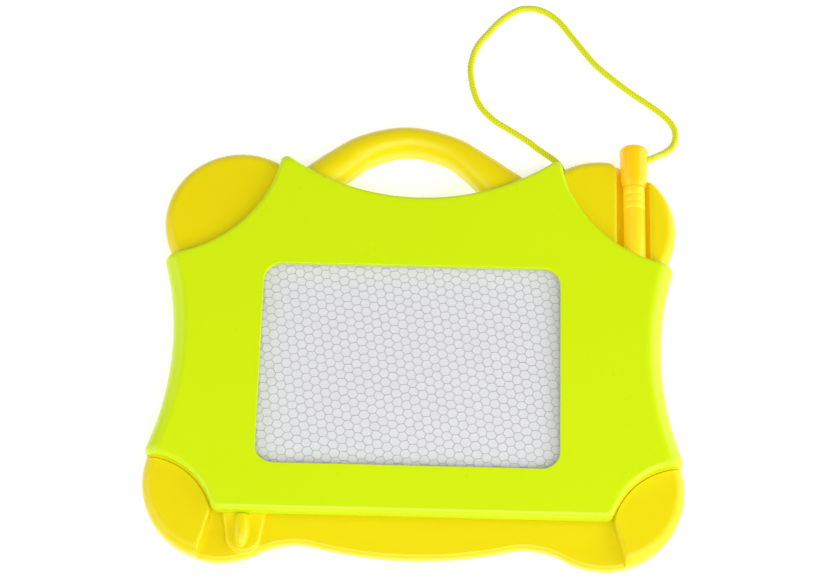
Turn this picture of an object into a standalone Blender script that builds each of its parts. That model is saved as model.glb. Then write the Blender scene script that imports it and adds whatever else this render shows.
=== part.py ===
"""A pocket magnetic drawing board, lying on its back.

A yellow rear moulding carries the four round ears, the ledge, the pen trough and
the carrying handle. A lime cover with a window is screwed to it from behind. The
honeycomb screen is taped under the window, and an eraser bar slides behind it,
moved by a tab on the ledge. The magnet pen lies in its trough and is tied to the
board by a cord. Metres, +Z up, the origin in the middle of the back.
"""

import math

import bmesh
import bpy
from mathutils import Vector

# Overall size
BOARD_WIDTH = 0.205
BOARD_DEPTH = 0.180

# Walls and clearances
SHELL_WALL = 0.0018
COVER_WALL = 0.0018
CLEARANCE = 0.0003
SLIDE_CLEARANCE = 0.0004
OVERRUN = 0.004
WELD = 0.000003

# Round ears of the rear shell
EAR_HEIGHT = 0.0100
EAR_FILLET = 0.0042
LOWER_EAR_RADIUS = 0.0304
UPPER_EAR_RADIUS = 0.0296
UPPER_EAR_SET_IN = 0.0015
EAR_PITCH = 0.1064
EAR_LAP = 0.0030

# Ledge along the south edge, where the slider tab runs
LEDGE_HEIGHT = 0.0055
LEDGE_DEPTH = 0.0172
LEDGE_FILLET = 0.0018
LEDGE_LAP = 0.0064
LEDGE_BELLY_RADIUS = 0.160
LEDGE_BELLY_SET_IN = 0.0025
LEDGE_WAVE_RADIUS = 0.031
LEDGE_TUCK = 0.0010
EAR_STEP_INSET = 0.0269
EAR_STEP_SLANT = 0.0046

# Deck, the flat back of the rear shell
DECK_RIM_HEIGHT = 0.0045
DECK_RIM_WALL = 0.0015

# Lime cover
COVER_TOP = 0.0148
COVER_FOOT = 0.0008
COVER_FILLET = 0.0020
COVER_CORNER_RADIUS = 0.0024
COVER_SOUTH_CORNER_RADIUS = 0.0034
COVER_DEPTH = 0.1312
COVER_NORTH_RADIUS = 0.0890
COVER_NORTH_RUN = 0.0020
COVER_SIDE_RADIUS = 0.1200
COVER_WAIST_SET_IN = 0.0082
COVER_WAIST_UP = 0.0664
COVER_SIDE_ROLL = 0.0066
COVER_UPPER_ARC_RADIUS = 0.0513
COVER_UPPER_ARC_OUT = 0.0352
COVER_UPPER_ARC_UP = 0.0345
COVER_LOWER_ARC_RADIUS = 0.0284
COVER_LOWER_ARC_OUT = 0.0306
COVER_LOWER_ARC_DOWN = 0.0201
COVER_STEEP_RUN = 0.0004

# Window and screen
WINDOW_WIDTH = 0.1151
WINDOW_DEPTH = 0.0809
WINDOW_CORNER_RADIUS = 0.0070
WINDOW_OFFSET = -0.0024
WINDOW_BORDER = 0.0187
WINDOW_EDGE_FILLET = 0.0006
SCREEN_MARGIN = 0.0040
FILM_THICKNESS = 0.0003
TAPE_THICKNESS = 0.0003
CORE_THICKNESS = 0.0015

# Carrying handle
HANDLE_WIDTH = 0.0109
HANDLE_HEIGHT = 0.0112
HANDLE_SPAN = 0.0795
HANDLE_CENTRE = -0.0033
HANDLE_ROOT = 0.0022
# (place along the span, place up the rise, width) as shares
HANDLE_SHARES = (
    (-0.500, 0.00, 1.32), (-0.374, 0.42, 1.24), (-0.230, 0.81, 1.10), (-0.024, 1.00, 1.00),
    (0.188, 0.83, 1.02), (0.331, 0.50, 1.18), (0.500, 0.00, 1.56),
)

# Pen
PEN_LENGTH = 0.0905
PEN_PROUD = 0.0056
PEN_OFFSET = 0.0133
PEN_BARREL_RADIUS = 0.00425
PEN_BORE_RADIUS = 0.0029
PEN_NECK_RADIUS = 0.0032
PEN_NECK_BORE_RADIUS = 0.0020
PEN_NECK_LENGTH = 0.0052
PEN_AXIS_HEIGHT = 0.0083
PEN_CAP_LENGTH = 0.0175
PEN_CAP_RADIUS = 0.00565
PEN_CAP_LOW_RADIUS = 0.0051
PEN_CAP_CHAMFER = 0.0028
PEN_CAP_ROUND = 0.0020
PEN_CAP_END_WALL = 0.0016
PEN_GROOVE_PITCH = 0.0030
PEN_GROOVE_COUNT = 3
PEN_GROOVE_WIDTH = 0.0005
PEN_GROOVE_DEPTH = 0.00025
PEN_GROOVE_START = 0.0034
PEN_NOSE_LENGTH = 0.0060
PEN_NOSE_PLUG_LENGTH = 0.0080
PEN_NOSE_BEVEL_SHARE = 0.6
PEN_MAGNET_RADIUS = 0.0020
PEN_MAGNET_LENGTH = 0.0060
PEN_MAGNET_PROUD = 0.0008
TROUGH_RADIUS = 0.0065
TROUGH_LENGTH = 0.0555
SOCKET_HEIGHT = 0.0060
SOCKET_END_GAP = 0.0020

# Eraser and slider
TAB_WIDTH = 0.0172
TAB_THICKNESS = 0.0025
TAB_REACH = 0.0150
TAB_TIP_SHARE = 0.80
TAB_FILLET = 0.0009
TAB_INSET = 0.0040
TAB_STEM_WIDTH = 0.0100
GRIP_WIDTH = 0.0056
GRIP_HEIGHT = 0.0030
GRIP_END_GAP = 0.0020
GRIP_ROUND_SHARE = 0.8
BAR_WIDTH = 0.0110
BAR_OFFSET = -0.0032
BAR_HEIGHT = 0.0052
BAR_FLOOR = 0.0020
BAR_OVERLAP = 0.0026
MAGNET_WIDTH = 0.0070
LUG_WIDTH = 0.0100
PEG_RADIUS = 0.0015
PEG_LENGTH = 0.0022
RAIL_WALL = 0.0015
RAIL_HEIGHT = 0.0042
STOP_LENGTH = 0.0120

# Screws
SCREW_HEAD_RADIUS = 0.0023
SCREW_HEAD_HEIGHT = 0.0011
SCREW_RADIUS = 0.00105
SCREW_LENGTH = 0.0085
SCREW_SLOT_WIDTH = 0.0006
SCREW_SLOT_DEPTH = 0.0005
SCREW_SLOT_REACH = 0.0014
SCREW_SUNK = 0.0002
SCREW_FACE_SHARE = 0.8
SCREW_EDGE_SHARE = 0.4
BOSS_RADIUS = 0.0030
SEAT_RADIUS = 0.0040
SEAT_HEIGHT = 0.0034
SCREW_TOP_IN = 0.0214
SCREW_TOP_UP = 0.0087
SCREW_SIDE_INSET = 0.0225
SCREW_SIDE_UP = 0.0239
SCREW_SIDE_DOWN = 0.0261
SCREW_PEN_OFFSET = 0.0137

# Cord
CORD_RADIUS = 0.0013
CORD_HOLE_CLEARANCE = 0.0004
CORD_EXIT_DEGREES = 119.5
CORD_EXIT_HEIGHT = 0.0044
CORD_POINTS = 78
CORD_STEPS_PER_MARK = 24
KNOT_RADIUS = 0.0028
KNOT_DEPTH = 0.0055
PEN_KNOT_RADIUS = 0.0025
PEN_CORD_SET = 0.0046
# Hand-picked route of the free cord, from the ear's wall to the pen's cap
CORD_ROUTE = (
    (0.0552, 0.0756, 0.0043), (0.0531, 0.0785, 0.0034), (0.0502, 0.0813, 0.0021),
    (0.0464, 0.0844, 0.00135), (0.0424, 0.0877, 0.00135), (0.0355, 0.0922, 0.00135),
    (0.0286, 0.0968, 0.00135), (0.0229, 0.1033, 0.00135), (0.0199, 0.1118, 0.00135),
    (0.0190, 0.1209, 0.00135), (0.0213, 0.1297, 0.00135), (0.0265, 0.1371, 0.00135),
    (0.0324, 0.1437, 0.00135), (0.0398, 0.1481, 0.00135), (0.0478, 0.1476, 0.00135),
    (0.0548, 0.1429, 0.00135), (0.0602, 0.1359, 0.00135), (0.0654, 0.1288, 0.00135),
    (0.0709, 0.1220, 0.00135), (0.0772, 0.1163, 0.00135), (0.0837, 0.1109, 0.00135),
    (0.0904, 0.1060, 0.00135), (0.0969, 0.1010, 0.00135), (0.1012, 0.0960, 0.00135),
    (0.1024, 0.0912, 0.00135), (0.1011, 0.0866, 0.00150), (0.0980, 0.0832, 0.00270),
    (0.0949, 0.0805, 0.00530), (0.0925, 0.0784, 0.00760),
)

# Fineness of the round shapes
EAR_STEPS = 56
FILLET_STEPS = 3
EDGE_STEPS = 12
CORNER_STEPS = 3
WINDOW_CORNER_STEPS = 6
HANDLE_STEPS = 18
HANDLE_ARCH_STEPS = 10
TROUGH_STEPS = 12
PEN_STEPS = 24
BOSS_STEPS = 14
SCREW_STEPS = 12
KNOT_STEPS = 10

# Places that follow from the sizes above
HALF_WIDTH = BOARD_WIDTH / 2
HALF_DEPTH = BOARD_DEPTH / 2
LOWER_EAR_X = HALF_WIDTH - LOWER_EAR_RADIUS
LOWER_EAR_Y = -HALF_DEPTH + LOWER_EAR_RADIUS
UPPER_EAR_X = HALF_WIDTH - UPPER_EAR_SET_IN - UPPER_EAR_RADIUS
UPPER_EAR_Y = LOWER_EAR_Y + EAR_PITCH
COVER_SOUTH = -HALF_DEPTH + LEDGE_DEPTH
COVER_NORTH = COVER_SOUTH + COVER_DEPTH
COVER_WAIST_Y = COVER_SOUTH + COVER_WAIST_UP
EAR_STEP_NEAR = HALF_WIDTH - EAR_STEP_INSET
EAR_STEP_FAR = EAR_STEP_NEAR + EAR_STEP_SLANT
COVER_SHOULDER = COVER_TOP - COVER_FILLET
COVER_ROLL_START = COVER_TOP - COVER_SIDE_ROLL
COVER_UNDERSIDE = COVER_TOP - COVER_WALL
UPPER_ARC_X = UPPER_EAR_X + COVER_UPPER_ARC_OUT
UPPER_ARC_Y = UPPER_EAR_Y + COVER_UPPER_ARC_UP
LOWER_ARC_X = LOWER_EAR_X + COVER_LOWER_ARC_OUT
LOWER_ARC_Y = LOWER_EAR_Y - COVER_LOWER_ARC_DOWN
LEDGE_INNER = COVER_SOUTH + LEDGE_LAP
LEDGE_SOUTH = -HALF_DEPTH + LEDGE_BELLY_SET_IN
DECK_GAP = COVER_WALL + SLIDE_CLEARANCE
WINDOW_SOUTH = COVER_SOUTH + WINDOW_BORDER
WINDOW_Y = WINDOW_SOUTH + WINDOW_DEPTH / 2
SCREEN_WIDTH = WINDOW_WIDTH + 2 * SCREEN_MARGIN
SCREEN_DEPTH = WINDOW_DEPTH + 2 * SCREEN_MARGIN
TAPE_TOP = COVER_UNDERSIDE - CLEARANCE
FRONT_FILM_TOP = TAPE_TOP - TAPE_THICKNESS - CLEARANCE
CORE_TOP = FRONT_FILM_TOP - FILM_THICKNESS - CLEARANCE
BACK_FILM_TOP = CORE_TOP - CORE_THICKNESS - CLEARANCE
SCREEN_UNDERSIDE = BACK_FILM_TOP - FILM_THICKNESS
PEN_X = UPPER_EAR_X + PEN_OFFSET
PEN_END = UPPER_EAR_Y + UPPER_EAR_RADIUS + PEN_PROUD
PEN_TIP = PEN_END - PEN_LENGTH
TROUGH_FLOOR = PEN_AXIS_HEIGHT - PEN_CAP_RADIUS - CLEARANCE
TROUGH_CENTRE = TROUGH_FLOOR + TROUGH_RADIUS
TROUGH_SOUTH = PEN_END - TROUGH_LENGTH
SOCKET_RADIUS = PEN_BARREL_RADIUS + CLEARANCE
SOCKET_SOUTH = PEN_TIP - PEN_MAGNET_PROUD - SOCKET_END_GAP
TAB_BOTTOM = LEDGE_HEIGHT + CLEARANCE
TAB_TOP = TAB_BOTTOM + TAB_THICKNESS
TAB_X = -(EAR_STEP_NEAR - TAB_INSET - TAB_WIDTH / 2)
TRAVEL = -2 * TAB_X
BAR_X = TAB_X + BAR_OFFSET
BAR_BOTTOM = SHELL_WALL + SLIDE_CLEARANCE
BAR_SOUTH = WINDOW_SOUTH - BAR_OVERLAP
BAR_NORTH = WINDOW_SOUTH + WINDOW_DEPTH + BAR_OVERLAP
LUG_SOUTH = LEDGE_INNER + SLIDE_CLEARANCE
LUG_TOP = TAB_BOTTOM - CLEARANCE
COVER_MOUTH = EAR_HEIGHT + CLEARANCE
SCREW_TOP_X = UPPER_EAR_X - SCREW_TOP_IN
SCREW_TOP_Y = UPPER_EAR_Y + SCREW_TOP_UP
SCREW_SIDE_X = HALF_WIDTH - SCREW_SIDE_INSET
SCREW_SIDE_Y = COVER_WAIST_Y + SCREW_SIDE_UP
SCREW_LOW_Y = COVER_WAIST_Y - SCREW_SIDE_DOWN
SCREW_PLACES = (
    (-SCREW_TOP_X, SCREW_TOP_Y), (SCREW_TOP_X, SCREW_TOP_Y),
    (-SCREW_SIDE_X, SCREW_SIDE_Y), (PEN_X - SCREW_PEN_OFFSET, SCREW_SIDE_Y),
    (-SCREW_SIDE_X, SCREW_LOW_Y), (SCREW_SIDE_X, SCREW_LOW_Y),
)


# Scene and materials

def clear_scene():
    for item in list(bpy.data.objects):
        bpy.data.objects.remove(item, do_unlink=True)


def material(name, colour, roughness, metallic=0.0, alpha=1.0):
    made = bpy.data.materials.new(name)
    made.use_nodes = True
    shader = made.node_tree.nodes["Principled BSDF"]
    shader.inputs["Base Color"].default_value = (*colour, 1.0)
    shader.inputs["Roughness"].default_value = roughness
    shader.inputs["Metallic"].default_value = metallic
    shader.inputs["Alpha"].default_value = alpha
    made.diffuse_color = (*colour, alpha)
    return made


# Small tools for meshes

def place(bm, name):
    """Turn a bmesh into a named object with its faces pointing out."""
    bmesh.ops.recalc_face_normals(bm, faces=bm.faces)
    if bm.calc_volume(signed=True) < 0.0:
        bmesh.ops.reverse_faces(bm, faces=bm.faces)
    mesh = bpy.data.meshes.new(name)
    bm.to_mesh(mesh)
    bm.free()
    made = bpy.data.objects.new(name, mesh)
    bpy.context.scene.collection.objects.link(made)
    return made


def finish(made, finish_material, sharp_degrees=35.0):
    made.data.materials.append(finish_material)
    made.data.shade_smooth()
    made.data.set_sharp_from_angle(angle=math.radians(sharp_degrees))
    return made


def layered(name, rings):
    """Extrude one outline up through rings of equal count, closed at both ends."""
    bm = bmesh.new()
    number = bm.verts.layers.int.new("number")
    corners = [bm.verts.new(point) for point in rings[0]]
    for index, corner in enumerate(corners):
        corner[number] = index
    top = bm.faces.new(corners)
    for level, ring in enumerate(rings[1:]):
        grown = bmesh.ops.extrude_face_region(bm, geom=[top])["geom"]
        if level:
            bmesh.ops.delete(bm, geom=[top], context="FACES_ONLY")
        top = next(item for item in grown if isinstance(item, bmesh.types.BMFace))
        for corner in top.verts:
            corner.co = ring[corner[number]]
    return place(bm, name)


def slab(name, outline, bottom, top):
    return layered(name, [[(x, y, z) for x, y in outline] for z in (bottom, top)])


def box(name, low, high):
    outline = ((low[0], low[1]), (high[0], low[1]), (high[0], high[1]), (low[0], high[1]))
    return slab(name, outline, low[2], high[2])


def turned(name, profile, steps):
    """Spin a closed profile of (radius, height) pairs round the local Z axis."""
    bm = bmesh.new()
    corners = [bm.verts.new((radius, 0.0, height)) for radius, height in profile]
    edges = [bm.edges.new(pair) for pair in zip(corners, corners[1:])]
    if profile[0][0] > 0.0 or profile[-1][0] > 0.0:
        edges.append(bm.edges.new((corners[-1], corners[0])))
    bmesh.ops.spin(
        bm, geom=corners + edges, cent=(0.0, 0.0, 0.0), axis=(0.0, 0.0, 1.0),
        angle=math.tau, steps=steps, use_merge=True,
    )
    bmesh.ops.remove_doubles(bm, verts=bm.verts, dist=WELD)
    return place(bm, name)


def rod(name, radius, length, steps, start=0.0):
    end = start + length
    return turned(name, ((0.0, start), (radius, start), (radius, end), (0.0, end)), steps)


def combine(target, other, operation):
    """Boolean one solid with another, and leave the other out of the model."""
    modifier = target.modifiers.new(operation.lower() + "_" + other.name, "BOOLEAN")
    modifier.operation = operation
    modifier.solver = "EXACT"
    modifier.object = other
    other.hide_render = True
    other.hide_viewport = False
    other.display_type = "WIRE"
    return target


def join(target, other):
    return combine(target, other, "UNION")


def cut(target, other):
    return combine(target, other, "DIFFERENCE")


def keep(target, other):
    return combine(target, other, "INTERSECT")


# Outlines made of round and straight edges

def arc(x, y, radius, start, end, steps):
    """Points along an arc, with both ends, from one angle in degrees to another."""
    turns = [math.radians(start + (end - start) * step / steps) for step in range(steps + 1)]
    return [(x + radius * math.cos(turn), y + radius * math.sin(turn)) for turn in turns]


def circle(x, y, radius, steps):
    return arc(x, y, radius, 0.0, 360.0, steps)[:-1]


def drawn_in(edge, depth):
    """Move an edge towards the material; a hollow edge's radius grows."""
    if edge[0] == "hollow":
        return ("hollow", edge[1], edge[2], edge[3] + depth)
    return ("level", edge[1] + depth)


def crossing(first, second):
    """The place where two edges meet, on the side of the board's centre."""
    if first[0] == "level":
        first, second = second, first
    _, x, y, radius = first
    if second[0] == "level":
        half = math.sqrt(radius ** 2 - (second[1] - y) ** 2)
        found = [(x - half, second[1]), (x + half, second[1])]
    else:
        _, other_x, other_y, other_radius = second
        apart = math.hypot(other_x - x, other_y - y)
        along = (radius ** 2 - other_radius ** 2 + apart ** 2) / (2 * apart)
        half = math.sqrt(radius ** 2 - along ** 2)
        step_x, step_y = (other_x - x) / apart, (other_y - y) / apart
        found = [
            (x + along * step_x - side * half * step_y, y + along * step_y + side * half * step_x)
            for side in (-1, 1)
        ]
    return min(found, key=lambda spot: math.hypot(*spot))


def foot(edge, spot):
    """The point of an edge that lies nearest to a spot."""
    if edge[0] == "level":
        return (spot[0], edge[1])
    _, x, y, radius = edge
    away = math.hypot(spot[0] - x, spot[1] - y)
    return (x + (spot[0] - x) * radius / away, y + (spot[1] - y) * radius / away)


def sweep(centre, start, end, steps):
    """Points from start to end round a centre, the short way, without the end."""
    x, y = centre
    radius = math.hypot(start[0] - x, start[1] - y)
    first = math.degrees(math.atan2(start[1] - y, start[0] - x))
    last = math.degrees(math.atan2(end[1] - y, end[0] - x))
    last = first + (last - first + 180.0) % 360.0 - 180.0
    return arc(x, y, radius, first, last, steps)[:-1]


def rounded_outline(edges, radii):
    """Close the edges into one outline, counter-clockwise, with rounded corners."""
    corners = []
    for index, radius in enumerate(radii):
        before, after = edges[index - 1], edges[index]
        centre = crossing(drawn_in(before, radius), drawn_in(after, radius))
        corners.append((centre, foot(before, centre), foot(after, centre)))
    outline = []
    for index, edge in enumerate(edges):
        centre, start, end = corners[index]
        outline += sweep(centre, start, end, CORNER_STEPS)
        start, end = end, corners[(index + 1) % len(edges)][1]
        if edge[0] == "level":
            outline += [
                (start[0] + (end[0] - start[0]) * step / EDGE_STEPS, start[1])
                for step in range(EDGE_STEPS)
            ]
        else:
            outline += sweep((edge[1], edge[2]), start, end, EDGE_STEPS)
    return outline


def cover_outline(height, wall, drawn):
    """The cover's outline at a height, wall deep; drawn insets all but the rolled sides."""
    share = (height - COVER_FOOT) / (COVER_SHOULDER - COVER_FOOT)
    share = max(0.0, min(1.0, share))
    rise = max(0.0, min(COVER_SIDE_ROLL, height - COVER_ROLL_START))
    side = wall + COVER_SIDE_ROLL - math.sqrt(COVER_SIDE_ROLL ** 2 - rise ** 2)
    north = wall + drawn + COVER_NORTH_RUN * share
    steep = wall + drawn + COVER_STEEP_RUN * share
    side_x = HALF_WIDTH - COVER_WAIST_SET_IN + COVER_SIDE_RADIUS
    edges = [
        drawn_in(("level", COVER_SOUTH), steep),
        drawn_in(("hollow", LOWER_ARC_X, LOWER_ARC_Y, COVER_LOWER_ARC_RADIUS), steep),
        drawn_in(("hollow", side_x, COVER_WAIST_Y, COVER_SIDE_RADIUS), side),
        drawn_in(("hollow", UPPER_ARC_X, UPPER_ARC_Y, COVER_UPPER_ARC_RADIUS), steep),
        drawn_in(("hollow", 0.0, COVER_NORTH + COVER_NORTH_RADIUS, COVER_NORTH_RADIUS), north),
        drawn_in(("hollow", -UPPER_ARC_X, UPPER_ARC_Y, COVER_UPPER_ARC_RADIUS), steep),
        drawn_in(("hollow", -side_x, COVER_WAIST_Y, COVER_SIDE_RADIUS), side),
        drawn_in(("hollow", -LOWER_ARC_X, LOWER_ARC_Y, COVER_LOWER_ARC_RADIUS), steep),
    ]
    corner, south = COVER_CORNER_RADIUS, COVER_SOUTH_CORNER_RADIUS
    return rounded_outline(edges, [south, south, corner, corner, corner, corner, corner, corner])


def cover_ring(height, wall, drawn=0.0):
    return [(x, y, height) for x, y in cover_outline(height, wall, drawn)]


def rounded_rectangle(width, depth, radius, centre_x, centre_y, steps):
    outline = []
    for turn, (side_x, side_y) in enumerate(((1, 1), (-1, 1), (-1, -1), (1, -1))):
        x = centre_x + side_x * (width / 2 - radius)
        y = centre_y + side_y * (depth / 2 - radius)
        outline += arc(x, y, radius, 90.0 * turn, 90.0 * (turn + 1), steps)
    return outline


def fillet_levels(top, radius):
    """(height, inset) pairs up the quarter round of a top edge."""
    turns = [math.radians(90.0 * step / FILLET_STEPS) for step in range(FILLET_STEPS + 1)]
    return [(top - radius + radius * math.sin(turn), radius * (1 - math.cos(turn))) for turn in turns]


# Rear shell

def rolled_disc(name, x, y, radius, inset=0.0):
    """A round ear with its top edge rolled over; inset shrinks it on every side."""
    rings = [[(px, py, 0.0) for px, py in circle(x, y, radius - inset, EAR_STEPS)]]
    for height, drawn in fillet_levels(EAR_HEIGHT - inset, EAR_FILLET - inset):
        rings.append([(px, py, height) for px, py in circle(x, y, radius - inset - drawn, EAR_STEPS)])
    return layered(name, rings)


def ear_solid(name, x, y, radius, inset):
    """One whole ear, or the plain round hollow inside it."""
    if inset:
        return slab(name, circle(x, y, radius - inset, EAR_STEPS), -OVERRUN, EAR_HEIGHT - inset)
    return rolled_disc(name, x, y, radius)


def ear_places():
    """(name, x, y, radius, corner arc's x, y and radius) of the four ears."""
    places = []
    for word, side in (("left", -1), ("right", 1)):
        places.append((
            "lower_" + word, side * LOWER_EAR_X, LOWER_EAR_Y, LOWER_EAR_RADIUS,
            side * LOWER_ARC_X, LOWER_ARC_Y, COVER_LOWER_ARC_RADIUS,
        ))
        places.append((
            "upper_" + word, side * UPPER_EAR_X, UPPER_EAR_Y, UPPER_EAR_RADIUS,
            side * UPPER_ARC_X, UPPER_ARC_Y, COVER_UPPER_ARC_RADIUS,
        ))
    return places


def ear_island(spot, inset):
    """The part of an ear that stands outside the cover, or the hollow inside it."""
    name, x, y, radius, arc_x, arc_y, arc_radius = spot
    word = "hollow" if inset else "ear"
    island = ear_solid(word + "_" + name, x, y, radius, inset)
    reach = circle(arc_x, arc_y, arc_radius + EAR_LAP - inset, EAR_STEPS)
    keep(island, slab(word + "_reach_" + name, reach, -2 * OVERRUN, COVER_TOP))
    if name.startswith("lower"):
        cut(island, ledge_corridor(word + "_corridor_" + name, inset))
    return island


def ledge_corridor(name, inset):
    """The space of the ledge, between the slanted inner sides of the lower ears."""
    near, far = EAR_STEP_NEAR + inset, EAR_STEP_FAR + inset
    outline = (
        (-far, -HALF_DEPTH - OVERRUN), (far, -HALF_DEPTH - OVERRUN), (far, -HALF_DEPTH),
        (near, COVER_SOUTH), (near, LEDGE_INNER + OVERRUN), (-near, LEDGE_INNER + OVERRUN),
        (-near, COVER_SOUTH), (-far, -HALF_DEPTH),
    )
    return slab(name, outline, -2 * OVERRUN, COVER_TOP + OVERRUN)


def ledge_outline(inset):
    """South outline: ear, hollow wave, long belly, wave and ear, closed in the north."""
    ear_radius = LOWER_EAR_RADIUS - inset
    belly_radius = LEDGE_BELLY_RADIUS - inset
    belly_y = LEDGE_SOUTH + LEDGE_BELLY_RADIUS
    wave_radius = LEDGE_WAVE_RADIUS + inset
    apart = math.hypot(LOWER_EAR_X, belly_y - LOWER_EAR_Y)
    to_ear = LOWER_EAR_RADIUS + LEDGE_WAVE_RADIUS
    to_belly = LEDGE_BELLY_RADIUS + LEDGE_WAVE_RADIUS
    along = (to_ear ** 2 - to_belly ** 2 + apart ** 2) / (2 * apart)
    half = math.sqrt(to_ear ** 2 - along ** 2)
    step_x, step_y = -LOWER_EAR_X / apart, (belly_y - LOWER_EAR_Y) / apart
    wave_x = LOWER_EAR_X + along * step_x - half * step_y
    wave_y = LOWER_EAR_Y + along * step_y + half * step_x
    ear_turn = math.degrees(math.atan2(wave_y - LOWER_EAR_Y, wave_x - LOWER_EAR_X))
    belly_turn = math.degrees(math.atan2(wave_y - belly_y, wave_x))
    right = arc(0.0, belly_y, belly_radius, -90.0, belly_turn, EDGE_STEPS // 2)[:-1]
    right += arc(wave_x, wave_y, wave_radius, belly_turn + 180.0, ear_turn + 180.0, EDGE_STEPS // 2)[:-1]
    last_turn = -math.degrees(math.acos((EAR_STEP_FAR - LOWER_EAR_X) / ear_radius))
    right += arc(LOWER_EAR_X, LOWER_EAR_Y, ear_radius, ear_turn, last_turn, EDGE_STEPS // 2)
    end_x, end_y = right[-1]
    right += [(end_x + LEDGE_TUCK, end_y + LEDGE_TUCK), (end_x + LEDGE_TUCK, LEDGE_INNER - inset)]
    left = [(-x, y) for x, y in reversed(right[1:])]
    return left + right


def ledge_solid(name, inset):
    if inset:
        return slab(name, ledge_outline(inset), -OVERRUN, LEDGE_HEIGHT - inset)
    flat = ledge_outline(0.0)
    rings = [[(x, y, 0.0) for x, y in flat]]
    for height, drawn in fillet_levels(LEDGE_HEIGHT, LEDGE_FILLET):
        rings.append([
            (x, max(y, flat_y), height) if y > LOWER_EAR_Y else (x, y, height)
            for (x, y), (_, flat_y) in zip(ledge_outline(drawn), flat)
        ])
    return layered(name, rings)


def deck_solid():
    """Flat back plate with a low rim that locates the cover's skirt."""
    deck = layered("rear_shell", [cover_ring(0.0, DECK_GAP), cover_ring(DECK_RIM_HEIGHT, DECK_GAP)])
    tray = layered("deck_tray", [
        cover_ring(SHELL_WALL, DECK_GAP + DECK_RIM_WALL),
        cover_ring(DECK_RIM_HEIGHT + OVERRUN, DECK_GAP + DECK_RIM_WALL),
    ])
    return cut(deck, tray)


def north_edge(x):
    """Y of the deck's north edge at a place along X."""
    radius = COVER_NORTH_RADIUS + DECK_GAP
    return COVER_NORTH + COVER_NORTH_RADIUS - math.sqrt(radius ** 2 - x ** 2)


def smooth(points, steps):
    """A smooth curve through points of any dimension, evenly stepped by piece."""
    padded = [2 * points[0] - points[1]] + list(points) + [2 * points[-1] - points[-2]]
    found = []
    for index in range(steps + 1):
        place_on = index * (len(points) - 1) / steps
        piece = min(int(place_on), len(points) - 2)
        t = place_on - piece
        a, b, c, d = padded[piece:piece + 4]
        found.append(0.5 * (
            2 * b + (c - a) * t + (2 * a - 5 * b + 4 * c - d) * t ** 2
            + (3 * b - a - 3 * c + d) * t ** 3
        ))
    return found


def handle_stations():
    """(centre, sideways direction, width share) along the handle's middle line."""
    top = HALF_DEPTH - HANDLE_WIDTH / 2
    marks = []
    for along, up, wide in HANDLE_SHARES:
        x = HANDLE_CENTRE + along * HANDLE_SPAN
        low = north_edge(HANDLE_CENTRE + math.copysign(HANDLE_SPAN / 2, along)) - HANDLE_ROOT
        marks.append(Vector((x, low + up * (top - low), wide)))
    line = smooth(marks, HANDLE_STEPS)
    stations = []
    for index, mark in enumerate(line):
        ahead = line[min(index + 1, HANDLE_STEPS)] - line[max(index - 1, 0)]
        sideways = Vector((-ahead.y, ahead.x, 0.0)).normalized()
        stations.append((Vector((mark.x, mark.y, 0.0)), sideways, mark.z))
    return stations


def handle_solid(name, grow, bottom):
    """Arched bar with a flat back and a round front; grow makes room around it."""
    rings = []
    rise = HANDLE_HEIGHT + grow
    shoulder = HANDLE_HEIGHT / 2
    for centre, sideways, wide in handle_stations():
        half = HANDLE_WIDTH * wide / 2 + grow
        ring = [centre - sideways * half + Vector((0.0, 0.0, bottom))]
        for step in range(HANDLE_ARCH_STEPS + 1):
            turn = math.pi * step / HANDLE_ARCH_STEPS
            height = shoulder + (rise - shoulder) * math.sin(turn)
            ring.append(centre - sideways * half * math.cos(turn) + Vector((0.0, 0.0, height)))
        ring.append(centre + sideways * half + Vector((0.0, 0.0, bottom)))
        rings.append(ring)
    return layered(name, rings)


def trough_solid(name, radius, middle, top, south, north):
    """A U-shaped run along the pen, or the channel inside it."""
    section = [(-radius, top)] + arc(0.0, middle, radius, -180.0, 0.0, TROUGH_STEPS) + [(radius, top)]
    return layered(name, [[(PEN_X + x, y, z) for x, z in section] for y in (south, north)])


def add_trough(shell):
    """A wide trough in the ear for the cap, and a socket under the cover for the tip."""
    wide = TROUGH_RADIUS + SHELL_WALL
    trough = trough_solid("trough", wide, TROUGH_CENTRE, COVER_TOP, TROUGH_SOUTH - SHELL_WALL, PEN_END)
    skin_middle = SHELL_WALL / 2
    inside = rolled_disc("trough_clip", UPPER_EAR_X, UPPER_EAR_Y, UPPER_EAR_RADIUS, skin_middle)
    join(shell, keep(trough, inside))
    socket = trough_solid(
        "socket", SOCKET_RADIUS + SHELL_WALL, PEN_AXIS_HEIGHT, COVER_TOP,
        SOCKET_SOUTH - SHELL_WALL, TROUGH_SOUTH,
    )
    inside = layered("socket_clip", [cover_ring(0.0, DECK_GAP), cover_ring(SOCKET_HEIGHT, DECK_GAP)])
    join(shell, keep(socket, inside))
    cut(shell, trough_solid(
        "trough_channel", TROUGH_RADIUS, TROUGH_CENTRE, COVER_TOP, TROUGH_SOUTH, PEN_END,
    ))
    cut(shell, trough_solid(
        "socket_channel", SOCKET_RADIUS, PEN_AXIS_HEIGHT, COVER_TOP, SOCKET_SOUTH, TROUGH_SOUTH + OVERRUN,
    ))


def cord_exit():
    """(place on the ear's outer wall, outward direction) where the cord leaves."""
    turn = math.radians(CORD_EXIT_DEGREES)
    outward = Vector((math.cos(turn), math.sin(turn), 0.0))
    centre = Vector((UPPER_EAR_X, UPPER_EAR_Y, CORD_EXIT_HEIGHT))
    return centre + outward * UPPER_EAR_RADIUS, outward


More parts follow.
